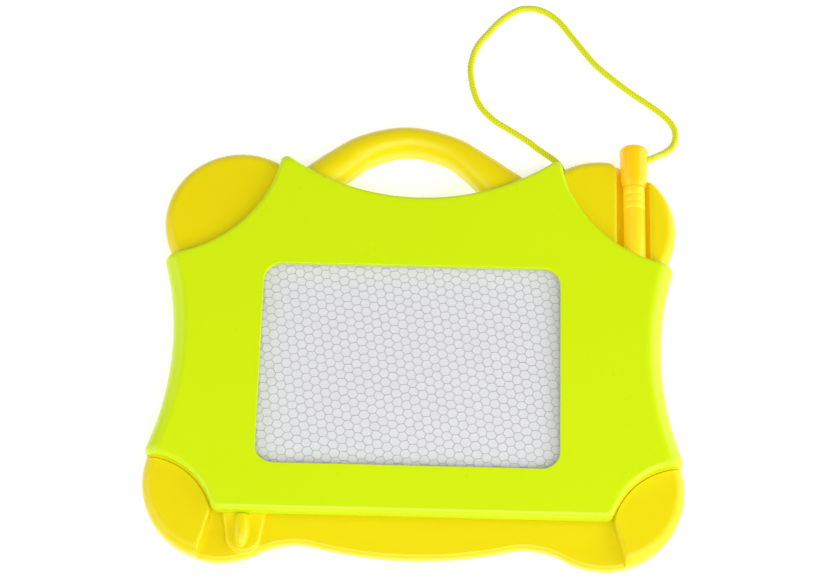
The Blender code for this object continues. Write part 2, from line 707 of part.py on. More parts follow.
def cord_tunnel(name, radius, inward, outward_reach, bottom=None):
    """A cutter along the cord's first run, open downwards if a bottom is given."""
    spot, outward = cord_exit()
    sideways = Vector((-outward.y, outward.x, 0.0))
    if bottom is None:
        section = [(radius * math.cos(turn), CORD_EXIT_HEIGHT + radius * math.sin(turn))
                   for turn in (math.tau * step / BOSS_STEPS for step in range(BOSS_STEPS))]
    else:
        section = [(x, CORD_EXIT_HEIGHT + z) for x, z in arc(0.0, 0.0, radius, 0.0, 180.0, BOSS_STEPS)]
        section += [(-radius, bottom), (radius, bottom)]
    rings = []
    for reach in (-inward, outward_reach):
        flat = spot + outward * reach
        rings.append([(flat.x + sideways.x * x, flat.y + sideways.y * x, z) for x, z in section])
    return layered(name, rings)


def rear_shell():
    shell = deck_solid()
    for spot in ear_places():
        join(shell, ear_island(spot, 0.0))
    join(shell, ledge_solid("ledge", 0.0))
    join(shell, handle_solid("handle", 0.0, 0.0))
    for spot in ear_places():
        cut(shell, ear_island(spot, SHELL_WALL))
    cut(shell, ledge_solid("ledge_hollow", SHELL_WALL))
    cut(shell, handle_hollow())
    add_trough(shell)
    for name, low, high in rail_boxes():
        join(shell, box(name, low, high))
    for index, (x, y) in enumerate(SCREW_PLACES):
        seat = circle(x, y, SEAT_RADIUS, BOSS_STEPS)
        join(shell, slab("seat_%d" % index, seat, SHELL_WALL / 2, SEAT_HEIGHT))
        cut(shell, screw_passage(index, x, y))
    hole = CORD_RADIUS + CORD_HOLE_CLEARANCE
    cut(shell, cord_tunnel("cord_hole", hole, SHELL_WALL + OVERRUN / 2, OVERRUN))
    return shell


def handle_hollow():
    """The hollow under the handle, which leaves its two roots closed."""
    hollow = handle_solid("handle_hollow", -SHELL_WALL, -OVERRUN)
    root = COVER_NORTH + COVER_NORTH_RADIUS
    edge = circle(0.0, root, COVER_NORTH_RADIUS + DECK_GAP - SHELL_WALL, EAR_STEPS)
    return keep(hollow, slab("handle_hollow_reach", edge, -2 * OVERRUN, COVER_TOP))


def rail_boxes():
    """Guide rail and end stops of the eraser bar, standing on the deck."""
    floor = SHELL_WALL / 2
    top = SHELL_WALL + RAIL_HEIGHT
    left = BAR_X - BAR_WIDTH / 2 - SLIDE_CLEARANCE
    right = BAR_X + TRAVEL + BAR_WIDTH / 2 + SLIDE_CLEARANCE
    rail = BAR_NORTH + SLIDE_CLEARANCE
    middle = (BAR_SOUTH + BAR_NORTH) / 2
    return (
        ("rail", (left, rail, floor), (right, rail + RAIL_WALL, top)),
        ("stop_left", (left - RAIL_WALL, middle, floor), (left, middle + STOP_LENGTH, top)),
        ("stop_right", (right, middle, floor), (right + RAIL_WALL, middle + STOP_LENGTH, top)),
    )


def screw_passage(index, x, y):
    """Counterbore for the head and a clearance hole for the shank."""
    head = SCREW_HEAD_RADIUS + CLEARANCE
    shank = SCREW_RADIUS + CLEARANCE
    step = SCREW_SUNK + SCREW_HEAD_HEIGHT + CLEARANCE
    top = SEAT_HEIGHT + OVERRUN
    profile = ((0.0, -OVERRUN), (head, -OVERRUN), (head, step), (shank, step), (shank, top), (0.0, top))
    passage = turned("passage_%d" % index, profile, BOSS_STEPS)
    passage.location = (x, y, 0.0)
    return passage


# Front cover

def cover_levels():
    """(height, inset) pairs up the cover's outside, with steps up its rolled sides."""
    levels = [(COVER_FOOT, 0.0)]
    for step in range(FILLET_STEPS):
        levels.append((COVER_ROLL_START + (COVER_SHOULDER - COVER_ROLL_START) * step / FILLET_STEPS, 0.0))
    return levels + fillet_levels(COVER_TOP, COVER_FILLET)


def front_cover():
    cover = layered("front_cover", [cover_ring(height, 0.0, drawn) for height, drawn in cover_levels()])
    middle = (COVER_ROLL_START + COVER_UNDERSIDE) / 2
    cut(cover, layered("cover_hollow", [
        cover_ring(height, COVER_WALL)
        for height in (COVER_FOOT - OVERRUN, COVER_FOOT, COVER_ROLL_START, middle, COVER_UNDERSIDE)
    ]))
    for index, (x, y) in enumerate(SCREW_PLACES):
        boss = slab("boss_%d" % index, circle(x, y, BOSS_RADIUS, BOSS_STEPS),
                    SEAT_HEIGHT + CLEARANCE, COVER_TOP - COVER_WALL / 2)
        join(cover, boss)
        cut(cover, slab("pilot_%d" % index, circle(x, y, SCREW_RADIUS + CLEARANCE, BOSS_STEPS),
                        0.0, SCREW_SUNK + SCREW_HEAD_HEIGHT + SCREW_LENGTH + CLEARANCE))
    for name, x, y, radius, _, _, _ in ear_places():
        room = slab("room_" + name, circle(x, y, radius + CLEARANCE, EAR_STEPS), -OVERRUN, COVER_MOUTH)
        if name == "upper_right":
            join(room, pen_arch())
            notch = CORD_RADIUS + CORD_HOLE_CLEARANCE
            join(room, cord_tunnel("cord_notch", notch, OVERRUN, OVERRUN, -OVERRUN))
        cut(cover, room)
    slot_top = TAB_TOP + SLIDE_CLEARANCE
    low, high = (-EAR_STEP_FAR, -HALF_DEPTH, -OVERRUN), (EAR_STEP_FAR, LEDGE_INNER, slot_top)
    cut(cover, box("tab_slot", low, high))
    cut(cover, window_cutter())
    cut(cover, handle_solid("handle_room", CLEARANCE, -OVERRUN))
    return cover


def pen_arch():
    """The arched way through the cover's skirt for the pen's barrel."""
    section = arc(0.0, PEN_AXIS_HEIGHT, SOCKET_RADIUS, 0.0, 180.0, TROUGH_STEPS)
    section += [(-SOCKET_RADIUS, 0.0), (SOCKET_RADIUS, 0.0)]
    return layered("pen_arch", [[(PEN_X + x, y, z) for x, z in section] for y in (TROUGH_SOUTH, PEN_END)])


def window_cutter():
    rings = []
    for height, grow in ((COVER_UNDERSIDE - OVERRUN, 0.0), (COVER_TOP - WINDOW_EDGE_FILLET, 0.0),
                         (COVER_TOP, WINDOW_EDGE_FILLET), (COVER_TOP + OVERRUN, WINDOW_EDGE_FILLET)):
        outline = rounded_rectangle(
            WINDOW_WIDTH + 2 * grow, WINDOW_DEPTH + 2 * grow, WINDOW_CORNER_RADIUS + grow,
            WINDOW_OFFSET, WINDOW_Y, WINDOW_CORNER_STEPS,
        )
        rings.append([(x, y, height) for x, y in outline])
    return layered("window_cutter", rings)


# Screen

def screen_sheet(name, top, thickness):
    outline = rounded_rectangle(
        SCREEN_WIDTH, SCREEN_DEPTH, SCREEN_MARGIN, WINDOW_OFFSET, WINDOW_Y, CORNER_STEPS,
    )
    return slab(name, outline, top - thickness, top)


def screen_tape():
    tape = screen_sheet("screen_tape", TAPE_TOP, TAPE_THICKNESS)
    inside = rounded_rectangle(
        WINDOW_WIDTH, WINDOW_DEPTH, WINDOW_CORNER_RADIUS, WINDOW_OFFSET, WINDOW_Y,
        WINDOW_CORNER_STEPS,
    )
    return cut(tape, slab("tape_opening", inside, 0.0, COVER_TOP))


# Eraser

def eraser_carrier():
    top = BAR_BOTTOM + BAR_HEIGHT
    half = BAR_WIDTH / 2
    carrier = box("eraser_carrier", (BAR_X - half, BAR_SOUTH, BAR_BOTTOM), (BAR_X + half, BAR_NORTH, top))
    pocket = MAGNET_WIDTH / 2 + CLEARANCE
    cut(carrier, box(
        "magnet_pocket", (BAR_X - pocket, BAR_SOUTH + BAR_FLOOR, BAR_BOTTOM + BAR_FLOOR),
        (BAR_X + pocket, BAR_NORTH - BAR_FLOOR, top + OVERRUN),
    ))
    lug = LUG_WIDTH / 2
    join(carrier, box(
        "carrier_lug", (TAB_X - lug, LUG_SOUTH, BAR_BOTTOM),
        (TAB_X + lug, BAR_SOUTH + BAR_FLOOR / 2, LUG_TOP),
    ))
    hole = slab("peg_hole", circle(TAB_X, peg_y(), PEG_RADIUS + CLEARANCE, SCREW_STEPS),
                LUG_TOP - PEG_LENGTH - CLEARANCE, LUG_TOP + OVERRUN)
    return cut(carrier, hole)


def peg_y():
    return (LUG_SOUTH + BAR_SOUTH) / 2


def eraser_magnet():
    half = MAGNET_WIDTH / 2
    margin = BAR_FLOOR + CLEARANCE
    return box(
        "eraser_magnet", (BAR_X - half, BAR_SOUTH + margin, BAR_BOTTOM + margin),
        (BAR_X + half, BAR_NORTH - margin, SCREEN_UNDERSIDE - SLIDE_CLEARANCE),
    )


def tab_outline(inset):
    """Tongue with a blunt round end, wider where it comes out of the slot."""
    half = TAB_WIDTH / 2 - inset
    narrow = half * TAB_TIP_SHARE
    end = COVER_SOUTH - TAB_REACH + inset
    bend = end + narrow
    outline = [(TAB_X + half, COVER_SOUTH + CLEARANCE), (TAB_X + half, peg_y() - PEG_RADIUS - CLEARANCE)]
    outline += [(TAB_X - half, peg_y() - PEG_RADIUS - CLEARANCE), (TAB_X - half, COVER_SOUTH + CLEARANCE)]
    return outline + arc(TAB_X, bend, narrow, -180.0, 0.0, 2 * WINDOW_CORNER_STEPS)


def slider_tab():
    rings = [[(x, y, TAB_BOTTOM) for x, y in tab_outline(0.0)]]
    for height, drawn in fillet_levels(TAB_TOP, TAB_FILLET):
        rings.append([(x, y, height) for x, y in tab_outline(drawn)])
    tab = layered("slider_tab", rings)
    stem = TAB_STEM_WIDTH / 2
    join(tab, box(
        "tab_stem", (TAB_X - stem, COVER_SOUTH + LEDGE_LAP / 2, TAB_BOTTOM),
        (TAB_X + stem, BAR_SOUTH - CLEARANCE, TAB_TOP),
    ))
    join(tab, slab("tab_peg", circle(TAB_X, peg_y(), PEG_RADIUS, SCREW_STEPS),
                   LUG_TOP - PEG_LENGTH, TAB_TOP - TAB_THICKNESS / 2))
    return join(tab, grip_solid())


def grip_solid():
    """Raised drop-shaped thumb grip, with a rounded crest."""
    half = GRIP_WIDTH / 2
    north = COVER_SOUTH - CLEARANCE
    south = COVER_SOUTH - TAB_REACH + GRIP_END_GAP
    rings = []
    rounding = fillet_levels(TAB_TOP + GRIP_HEIGHT, half * GRIP_ROUND_SHARE)
    for height, drawn in [(TAB_TOP - TAB_THICKNESS / 2, 0.0)] + rounding:
        wide = half - drawn
        outline = [(TAB_X + wide, north - drawn), (TAB_X - wide, north - drawn)]
        outline += arc(TAB_X, south + half, wide, -180.0, 0.0, WINDOW_CORNER_STEPS)
        rings.append([(x, y, height) for x, y in outline])
    return layered("grip", rings)


# Pen

def on_pen_axis(piece, axle):
    piece.parent = axle
    return piece


def pen_axle():
    """Empty on the pen's axis at its tip, with its local Z towards the pen's end."""
    axle = bpy.data.objects.new("pen_axle", None)
    bpy.context.scene.collection.objects.link(axle)
    axle.location = (PEN_X, PEN_TIP, PEN_AXIS_HEIGHT)
    axle.rotation_euler = (-math.pi / 2, 0.0, 0.0)
    return axle


def pen_barrel():
    bottom = PEN_NOSE_LENGTH
    top = PEN_LENGTH - PEN_CAP_LENGTH - CLEARANCE
    profile = [(PEN_BORE_RADIUS, bottom), (PEN_BARREL_RADIUS, bottom)]
    first = top - PEN_GROOVE_START - (PEN_GROOVE_COUNT - 1) * PEN_GROOVE_PITCH
    for index in range(PEN_GROOVE_COUNT):
        middle = first + index * PEN_GROOVE_PITCH
        profile += [
            (PEN_BARREL_RADIUS, middle - PEN_GROOVE_WIDTH / 2),
            (PEN_BARREL_RADIUS - PEN_GROOVE_DEPTH, middle),
            (PEN_BARREL_RADIUS, middle + PEN_GROOVE_WIDTH / 2),
        ]
    neck = top + PEN_NECK_LENGTH
    profile += [
        (PEN_BARREL_RADIUS, top), (PEN_NECK_RADIUS, top), (PEN_NECK_RADIUS, neck),
        (PEN_NECK_BORE_RADIUS, neck), (PEN_NECK_BORE_RADIUS, top - PEN_NECK_LENGTH),
        (PEN_BORE_RADIUS, top - PEN_NECK_LENGTH),
    ]
    return turned("pen_barrel", profile, PEN_STEPS)


def pen_cap(axle):
    bottom = PEN_LENGTH - PEN_CAP_LENGTH
    bore = PEN_NECK_RADIUS + CLEARANCE
    low = PEN_BARREL_RADIUS + CLEARANCE
    profile = [(0.0, PEN_LENGTH)]
    for height, drawn in reversed(fillet_levels(PEN_LENGTH, PEN_CAP_ROUND)):
        profile.append((PEN_CAP_RADIUS - drawn, height))
    profile += [
        (PEN_CAP_LOW_RADIUS, bottom + PEN_CAP_CHAMFER), (low, bottom), (bore, bottom),
        (bore, PEN_LENGTH - PEN_CAP_END_WALL), (0.0, PEN_LENGTH - PEN_CAP_END_WALL),
    ]
    cap = on_pen_axis(turned("pen_cap", profile, PEN_STEPS), axle)
    hole = rod("cap_hole", CORD_RADIUS + CORD_HOLE_CLEARANCE, PEN_CAP_RADIUS + OVERRUN, BOSS_STEPS)
    hole.rotation_euler = (0.0, math.pi / 2, 0.0)
    hole.location = (0.0, 0.0, PEN_LENGTH - PEN_CORD_SET)
    return cut(cap, on_pen_axis(hole, axle))


def pen_nose():
    """Cone that closes the barrel and holds the tip magnet."""
    plug = PEN_BORE_RADIUS - CLEARANCE
    hold = PEN_MAGNET_RADIUS + CLEARANCE
    depth = PEN_MAGNET_LENGTH - PEN_MAGNET_PROUD + CLEARANCE
    profile = (
        (0.0, PEN_NOSE_PLUG_LENGTH + PEN_NOSE_LENGTH), (plug, PEN_NOSE_PLUG_LENGTH + PEN_NOSE_LENGTH),
        (plug, PEN_NOSE_LENGTH - CLEARANCE), (PEN_BARREL_RADIUS, PEN_NOSE_LENGTH - CLEARANCE),
        (PEN_BARREL_RADIUS, PEN_NOSE_LENGTH * PEN_NOSE_BEVEL_SHARE), (hold + CLEARANCE, 0.0), (hold, 0.0),
        (hold, depth), (0.0, depth),
    )
    return turned("pen_nose", profile, PEN_STEPS)


def pen_magnet():
    return rod("pen_magnet", PEN_MAGNET_RADIUS, PEN_MAGNET_LENGTH, SCREW_STEPS, -PEN_MAGNET_PROUD)


# Cord

def cord_line():
    """Smooth points of the whole cord, from inside the ear to inside the cap."""
    spot, outward = cord_exit()
    inside = spot - outward * (KNOT_DEPTH - KNOT_RADIUS - CLEARANCE)
    end = Vector((PEN_X, PEN_END - PEN_CORD_SET, PEN_AXIS_HEIGHT))
    side = Vector((1.0, 0.0, 0.0))
    marks = [inside, spot + outward * CLEARANCE]
    marks += [Vector(point) for point in CORD_ROUTE]
    marks += [end + side * (PEN_CAP_RADIUS + CLEARANCE), end + side * (PEN_KNOT_RADIUS + CLEARANCE)]
    fine = smooth(marks, len(marks) * CORD_STEPS_PER_MARK)
    lengths = [0.0]
    for before, after in zip(fine, fine[1:]):
        lengths.append(lengths[-1] + (after - before).length)
    line, index = [], 0
    for step in range(CORD_POINTS):
        goal = lengths[-1] * step / (CORD_POINTS - 1)
        while index < len(fine) - 2 and lengths[index + 1] < goal:
            index += 1
        share = (goal - lengths[index]) / (lengths[index + 1] - lengths[index])
        line.append(fine[index].lerp(fine[index + 1], share))
    print("cord length", round(lengths[-1], 4))
    return line


def pen_cord():
    line = cord_line()
    curve = bpy.data.curves.new("pen_cord", "CURVE")
    curve.dimensions = "3D"
    curve.bevel_depth = CORD_RADIUS
    curve.bevel_resolution = 2
    curve.use_fill_caps = True
    spline = curve.splines.new("POLY")
    spline.points.add(len(line) - 1)
    for point, spot in zip(spline.points, line):
        point.co = (*spot, 1.0)
    cord = bpy.data.objects.new("pen_cord", curve)
    bpy.context.scene.collection.objects.link(cord)
    return cord


def knot(name, radius, spot):
    bm = bmesh.new()
    bmesh.ops.create_uvsphere(bm, u_segments=KNOT_STEPS, v_segments=KNOT_STEPS - 2, radius=radius)
    made = place(bm, name)
    made.location = spot
    return made


# Screws

def screw(index, x, y):
    """Pan-head screw driven in from the back, with a cross recess."""
    head = SCREW_SUNK + SCREW_HEAD_HEIGHT
    end = head + SCREW_LENGTH
    profile = (
        (0.0, SCREW_SUNK), (SCREW_HEAD_RADIUS * SCREW_FACE_SHARE, SCREW_SUNK),
        (SCREW_HEAD_RADIUS, SCREW_SUNK + SCREW_HEAD_HEIGHT * SCREW_EDGE_SHARE), (SCREW_HEAD_RADIUS, head),
        (SCREW_RADIUS, head), (SCREW_RADIUS, end - SCREW_RADIUS), (0.0, end),
    )
    made = turned("case_screw_%d" % index, profile, SCREW_STEPS)
    made.location = (x, y, 0.0)
    for word, long_x, long_y in (("a", SCREW_SLOT_REACH, SCREW_SLOT_WIDTH / 2),
                                 ("b", SCREW_SLOT_WIDTH / 2, SCREW_SLOT_REACH)):
        slot = box("slot_%d_%s" % (index, word), (x - long_x, y - long_y, -OVERRUN),
                   (x + long_x, y + long_y, SCREW_SUNK + SCREW_SLOT_DEPTH))
        cut(made, slot)
    return made


def main():
    clear_scene()
    yellow = material("yellow_abs", (0.83, 0.72, 0.006), 0.30)
    lime = material("lime_abs", (0.63, 0.86, 0.008), 0.28)
    amber = material("amber_abs", (0.98, 0.62, 0.010), 0.28)
    clear = material("clear_pet_film", (0.86, 0.86, 0.86), 0.10, alpha=0.25)
    pearl = material("pearl_honeycomb", (0.74, 0.74, 0.74), 0.45)
    backing = material("white_pet_film", (0.80, 0.80, 0.80), 0.40)
    tape = material("double_sided_tape", (0.75, 0.72, 0.60), 0.70)
    magnet = material("rubber_magnet", (0.020, 0.018, 0.017), 0.60)
    ferrite = material("ferrite", (0.035, 0.035, 0.038), 0.45)
    steel = material("zinc_steel", (0.55, 0.56, 0.57), 0.30, metallic=1.0)
    cord_yarn = material("cord_yarn", (0.78, 0.80, 0.013), 0.80)

    finish(rear_shell(), yellow)
    finish(front_cover(), lime)
    finish(screen_tape(), tape)
    finish(screen_sheet("screen_front_film", FRONT_FILM_TOP, FILM_THICKNESS), clear)
    finish(screen_sheet("honeycomb_core", CORE_TOP, CORE_THICKNESS), pearl)
    finish(screen_sheet("screen_back_film", BACK_FILM_TOP, FILM_THICKNESS), backing)
    finish(eraser_carrier(), yellow)
    finish(eraser_magnet(), magnet)
    finish(slider_tab(), yellow)
    axle = pen_axle()
    finish(on_pen_axis(pen_barrel(), axle), amber)
    finish(pen_cap(axle), amber)
    finish(on_pen_axis(pen_nose(), axle), amber)
    finish(on_pen_axis(pen_magnet(), axle), ferrite)
    pen_cord().data.materials.append(cord_yarn)
    spot, outward = cord_exit()
    finish(knot("cord_knot", KNOT_RADIUS, spot - outward * KNOT_DEPTH), cord_yarn)
    pen_end = (PEN_X, PEN_END - PEN_CORD_SET, PEN_AXIS_HEIGHT)
    finish(knot("pen_knot", PEN_KNOT_RADIUS, pen_end), cord_yarn)
    for index, (x, y) in enumerate(SCREW_PLACES):
        finish(screw(index + 1, x, y), steel)


main()
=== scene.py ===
"""A pocket magnetic drawing board, dressed for a studio photograph.

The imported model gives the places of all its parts. The shells, the screen's cells,
the slider tab, the pen and the cord are made again here with fine edges, in metres,
+Z up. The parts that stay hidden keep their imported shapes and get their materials.
"""

import math
import random

import bmesh
import bpy
from mathutils import Matrix, Vector


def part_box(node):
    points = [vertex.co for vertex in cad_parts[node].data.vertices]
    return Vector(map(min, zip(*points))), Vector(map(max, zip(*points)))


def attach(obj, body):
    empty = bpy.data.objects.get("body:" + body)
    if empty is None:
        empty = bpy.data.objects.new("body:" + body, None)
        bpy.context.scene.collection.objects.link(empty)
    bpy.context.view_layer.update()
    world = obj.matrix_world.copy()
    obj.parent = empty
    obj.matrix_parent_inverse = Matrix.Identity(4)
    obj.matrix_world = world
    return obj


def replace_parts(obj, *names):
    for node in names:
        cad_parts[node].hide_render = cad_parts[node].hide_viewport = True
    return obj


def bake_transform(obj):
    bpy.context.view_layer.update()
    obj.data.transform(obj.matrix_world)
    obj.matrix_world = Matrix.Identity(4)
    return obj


bl_info = {
    "name": "Magnetic Drawing Board",
    "version": (1, 0, 0),
    "blender": (4, 5, 0),
    "location": "3D View > Sidebar > Drawing Board",
    "description": "Builds a pocket magnetic drawing board on its packed frame",
    "category": "Add Mesh",
}

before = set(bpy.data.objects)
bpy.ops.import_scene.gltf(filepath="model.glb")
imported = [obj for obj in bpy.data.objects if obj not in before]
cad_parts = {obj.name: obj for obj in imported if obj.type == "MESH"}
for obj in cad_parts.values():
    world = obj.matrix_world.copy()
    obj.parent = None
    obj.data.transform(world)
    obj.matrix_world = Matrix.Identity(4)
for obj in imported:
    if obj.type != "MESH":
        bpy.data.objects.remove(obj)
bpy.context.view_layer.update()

MM = 0.001

# Shells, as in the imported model
BOARD_WIDTH = 0.205
BOARD_DEPTH = 0.180
SHELL_WALL = 0.0018
COVER_WALL = 0.0018
CLEARANCE = 0.0003
SLIDE_CLEARANCE = 0.0004
OVERRUN = 0.004
EAR_HEIGHT = 0.0100
LOWER_EAR_RADIUS = 0.0304
UPPER_EAR_RADIUS = 0.0296
UPPER_EAR_SET_IN = 0.0015
EAR_PITCH = 0.1064
EAR_LAP = 0.0030
LEDGE_HEIGHT = 0.0055
LEDGE_DEPTH = 0.0172
LEDGE_FILLET = 0.0018
LEDGE_LAP = 0.0064
LEDGE_BELLY_RADIUS = 0.160
LEDGE_BELLY_SET_IN = 0.0025
LEDGE_WAVE_RADIUS = 0.031
LEDGE_TUCK = 0.0010
EAR_STEP_INSET = 0.0269
EAR_STEP_SLANT = 0.0046
DECK_RIM_HEIGHT = 0.0045
DECK_RIM_WALL = 0.0015
COVER_TOP = 0.0148
COVER_FOOT = 0.0008
COVER_FILLET = 0.0020
COVER_CORNER_RADIUS = 0.0024
COVER_SOUTH_CORNER_RADIUS = 0.0034
COVER_DEPTH = 0.1312
COVER_NORTH_RADIUS = 0.0890
COVER_NORTH_RUN = 0.0020
COVER_SIDE_RADIUS = 0.1200
COVER_WAIST_SET_IN = 0.0082
COVER_WAIST_UP = 0.0664
COVER_SIDE_ROLL = 0.0066
COVER_UPPER_ARC_RADIUS = 0.0513
COVER_UPPER_ARC_OUT = 0.0352
COVER_UPPER_ARC_UP = 0.0345
COVER_LOWER_ARC_RADIUS = 0.0284
COVER_LOWER_ARC_OUT = 0.0306
COVER_LOWER_ARC_DOWN = 0.0201
COVER_STEEP_RUN = 0.0004

# Window, handle and pen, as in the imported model
WINDOW_WIDTH = 0.1151
WINDOW_DEPTH = 0.0809
WINDOW_CORNER_RADIUS = 0.0070
WINDOW_OFFSET = -0.0024
WINDOW_BORDER = 0.0187
SCREEN_CORNER_RADIUS = 0.0040
HANDLE_WIDTH = 0.0109
HANDLE_HEIGHT = 0.0112
HANDLE_SPAN = 0.0795
HANDLE_CENTRE = -0.0033
HANDLE_ROOT = 0.0022
# (place along the span, place up the rise, width) as shares
HANDLE_SHARES = (
    (-0.500, 0.00, 1.32), (-0.374, 0.42, 1.24), (-0.230, 0.81, 1.10), (-0.024, 1.00, 1.00),
    (0.188, 0.83, 1.02), (0.331, 0.50, 1.18), (0.500, 0.00, 1.56),
)
PEN_LENGTH = 0.0905
PEN_PROUD = 0.0056
PEN_OFFSET = 0.0133
PEN_BARREL_RADIUS = 0.00425
PEN_BORE_RADIUS = 0.0029
PEN_NECK_RADIUS = 0.0032
PEN_NECK_BORE_RADIUS = 0.0020
PEN_NECK_LENGTH = 0.0052
PEN_AXIS_HEIGHT = 0.0083
PEN_CAP_LENGTH = 0.0175
PEN_CAP_RADIUS = 0.00565
PEN_CAP_LOW_RADIUS = 0.0051
PEN_CAP_CHAMFER = 0.0028
PEN_CAP_END_WALL = 0.0016
PEN_GROOVE_PITCH = 0.0030
PEN_GROOVE_COUNT = 3
PEN_GROOVE_START = 0.0034
PEN_NOSE_LENGTH = 0.0060
PEN_NOSE_PLUG_LENGTH = 0.0080
PEN_NOSE_BEVEL_SHARE = 0.6
PEN_MAGNET_RADIUS = 0.0020
PEN_MAGNET_LENGTH = 0.0060
PEN_MAGNET_PROUD = 0.0008
TROUGH_RADIUS = 0.0065
TROUGH_LENGTH = 0.0555
SOCKET_HEIGHT = 0.0060
SOCKET_END_GAP = 0.0020

# Slider tab, rail and screws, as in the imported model
TAB_WIDTH = 0.0172
TAB_THICKNESS = 0.0025
TAB_REACH = 0.0150
TAB_TIP_SHARE = 0.80
TAB_INSET = 0.0040
TAB_STEM_WIDTH = 0.0100
GRIP_HEIGHT = 0.0030
GRIP_END_GAP = 0.0020
BAR_WIDTH = 0.0110
BAR_OFFSET = -0.0032
BAR_OVERLAP = 0.0026
PEG_RADIUS = 0.0015
PEG_LENGTH = 0.0022
RAIL_WALL = 0.0015
RAIL_HEIGHT = 0.0042
STOP_LENGTH = 0.0120
SCREW_HEAD_RADIUS = 0.0023
SCREW_HEAD_HEIGHT = 0.0011
SCREW_RADIUS = 0.00105
SCREW_LENGTH = 0.0085
SCREW_SLOT_WIDTH = 0.0006
SCREW_SLOT_DEPTH = 0.0005
SCREW_SLOT_REACH = 0.0014
SCREW_SUNK = 0.0002
SCREW_FACE_SHARE = 0.8
SCREW_EDGE_SHARE = 0.4
THREAD_CORE_SHARE = 0.8
THREAD_START_SHARE = 0.6
BOSS_RADIUS = 0.0030
SEAT_RADIUS = 0.0040
SEAT_HEIGHT = 0.0034
SCREW_TOP_IN = 0.0214
SCREW_TOP_UP = 0.0087
SCREW_SIDE_INSET = 0.0225
SCREW_SIDE_UP = 0.0239
SCREW_SIDE_DOWN = 0.0261
SCREW_PEN_OFFSET = 0.0137

# Cord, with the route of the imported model
CORD_RADIUS = 0.0013
CORD_HOLE_CLEARANCE = 0.0004
STRAND_SHARPNESS = 1.5
CORD_EXIT_DEGREES = 119.5
CORD_EXIT_HEIGHT = 0.0044
KNOT_RADIUS = 0.0028
KNOT_DEPTH = 0.0055
PEN_KNOT_RADIUS = 0.0025
PEN_CORD_SET = 0.0046
KNOT_CORD_SHARE = 0.34
KNOT_RISE = 1.6
KNOT_CURVE_REACH = 3.05
CORD_FLAT_HEIGHT = 0.00135
CORD_DOWN = ((0.0552, 0.0756, 0.0043), (0.0531, 0.0785, 0.0034), (0.0502, 0.0813, 0.0021))
CORD_FLAT = (
    (0.0464, 0.0844), (0.0424, 0.0877), (0.0355, 0.0922), (0.0286, 0.0968), (0.0229, 0.1033),
    (0.0199, 0.1118), (0.0190, 0.1209), (0.0213, 0.1297), (0.0265, 0.1371), (0.0324, 0.1437),
    (0.0398, 0.1481), (0.0478, 0.1476), (0.0548, 0.1429), (0.0602, 0.1359), (0.0654, 0.1288),
    (0.0709, 0.1220), (0.0772, 0.1163), (0.0837, 0.1109), (0.0904, 0.1060), (0.0969, 0.1010),
    (0.1012, 0.0960), (0.1024, 0.0912),
)
CORD_UP = (
    (0.1011, 0.0866, 0.00150), (0.0980, 0.0832, 0.00270),
    (0.0949, 0.0805, 0.00530), (0.0925, 0.0784, 0.00760),
)

# Fineness of the round shapes
EAR_STEPS = 160
FILLET_STEPS = 8
EDGE_STEPS = 44
CORNER_STEPS = 8
WINDOW_CORNER_STEPS = 14
HANDLE_STEPS = 72
HANDLE_ARCH_STEPS = 28
TROUGH_STEPS = 32
PEN_STEPS = 72
BOSS_STEPS = 32
SCREW_STEPS = 40
SMALL_ROUND_STEPS = 3
CORD_SPACING = 0.00028
CORD_MARK_STEPS = 24
CORD_SIDES = 28
KNOT_STEPS = 240
KNOT_SIDES = 14

# Largest angle in degrees that is still shaded smooth
MOULDING_SHARP = 38.0
PEN_SHARP = 50.0
YARN_SHARP = 80.0

# Start of the random strays of the cells' corners
CELL_SEED = 7

# Places that follow
HALF_WIDTH = BOARD_WIDTH / 2
HALF_DEPTH = BOARD_DEPTH / 2
LOWER_EAR_X = HALF_WIDTH - LOWER_EAR_RADIUS
LOWER_EAR_Y = -HALF_DEPTH + LOWER_EAR_RADIUS
UPPER_EAR_X = HALF_WIDTH - UPPER_EAR_SET_IN - UPPER_EAR_RADIUS
UPPER_EAR_Y = LOWER_EAR_Y + EAR_PITCH
COVER_SOUTH = -HALF_DEPTH + LEDGE_DEPTH
COVER_NORTH = COVER_SOUTH + COVER_DEPTH
COVER_WAIST_Y = COVER_SOUTH + COVER_WAIST_UP
COVER_SIDE_X = HALF_WIDTH - COVER_WAIST_SET_IN + COVER_SIDE_RADIUS
EAR_STEP_NEAR = HALF_WIDTH - EAR_STEP_INSET
EAR_STEP_FAR = EAR_STEP_NEAR + EAR_STEP_SLANT
COVER_SHOULDER = COVER_TOP - COVER_FILLET
COVER_ROLL_START = COVER_TOP - COVER_SIDE_ROLL
COVER_UNDERSIDE = COVER_TOP - COVER_WALL
UPPER_ARC_X = UPPER_EAR_X + COVER_UPPER_ARC_OUT
UPPER_ARC_Y = UPPER_EAR_Y + COVER_UPPER_ARC_UP
LOWER_ARC_X = LOWER_EAR_X + COVER_LOWER_ARC_OUT
LOWER_ARC_Y = LOWER_EAR_Y - COVER_LOWER_ARC_DOWN
LEDGE_INNER = COVER_SOUTH + LEDGE_LAP
LEDGE_SOUTH = -HALF_DEPTH + LEDGE_BELLY_SET_IN
DECK_GAP = COVER_WALL + SLIDE_CLEARANCE
WINDOW_SOUTH = COVER_SOUTH + WINDOW_BORDER
WINDOW_Y = WINDOW_SOUTH + WINDOW_DEPTH / 2
PEN_X = UPPER_EAR_X + PEN_OFFSET
PEN_END = UPPER_EAR_Y + UPPER_EAR_RADIUS + PEN_PROUD
PEN_TIP = PEN_END - PEN_LENGTH
TROUGH_FLOOR = PEN_AXIS_HEIGHT - PEN_CAP_RADIUS - CLEARANCE
TROUGH_CENTRE = TROUGH_FLOOR + TROUGH_RADIUS
TROUGH_SOUTH = PEN_END - TROUGH_LENGTH
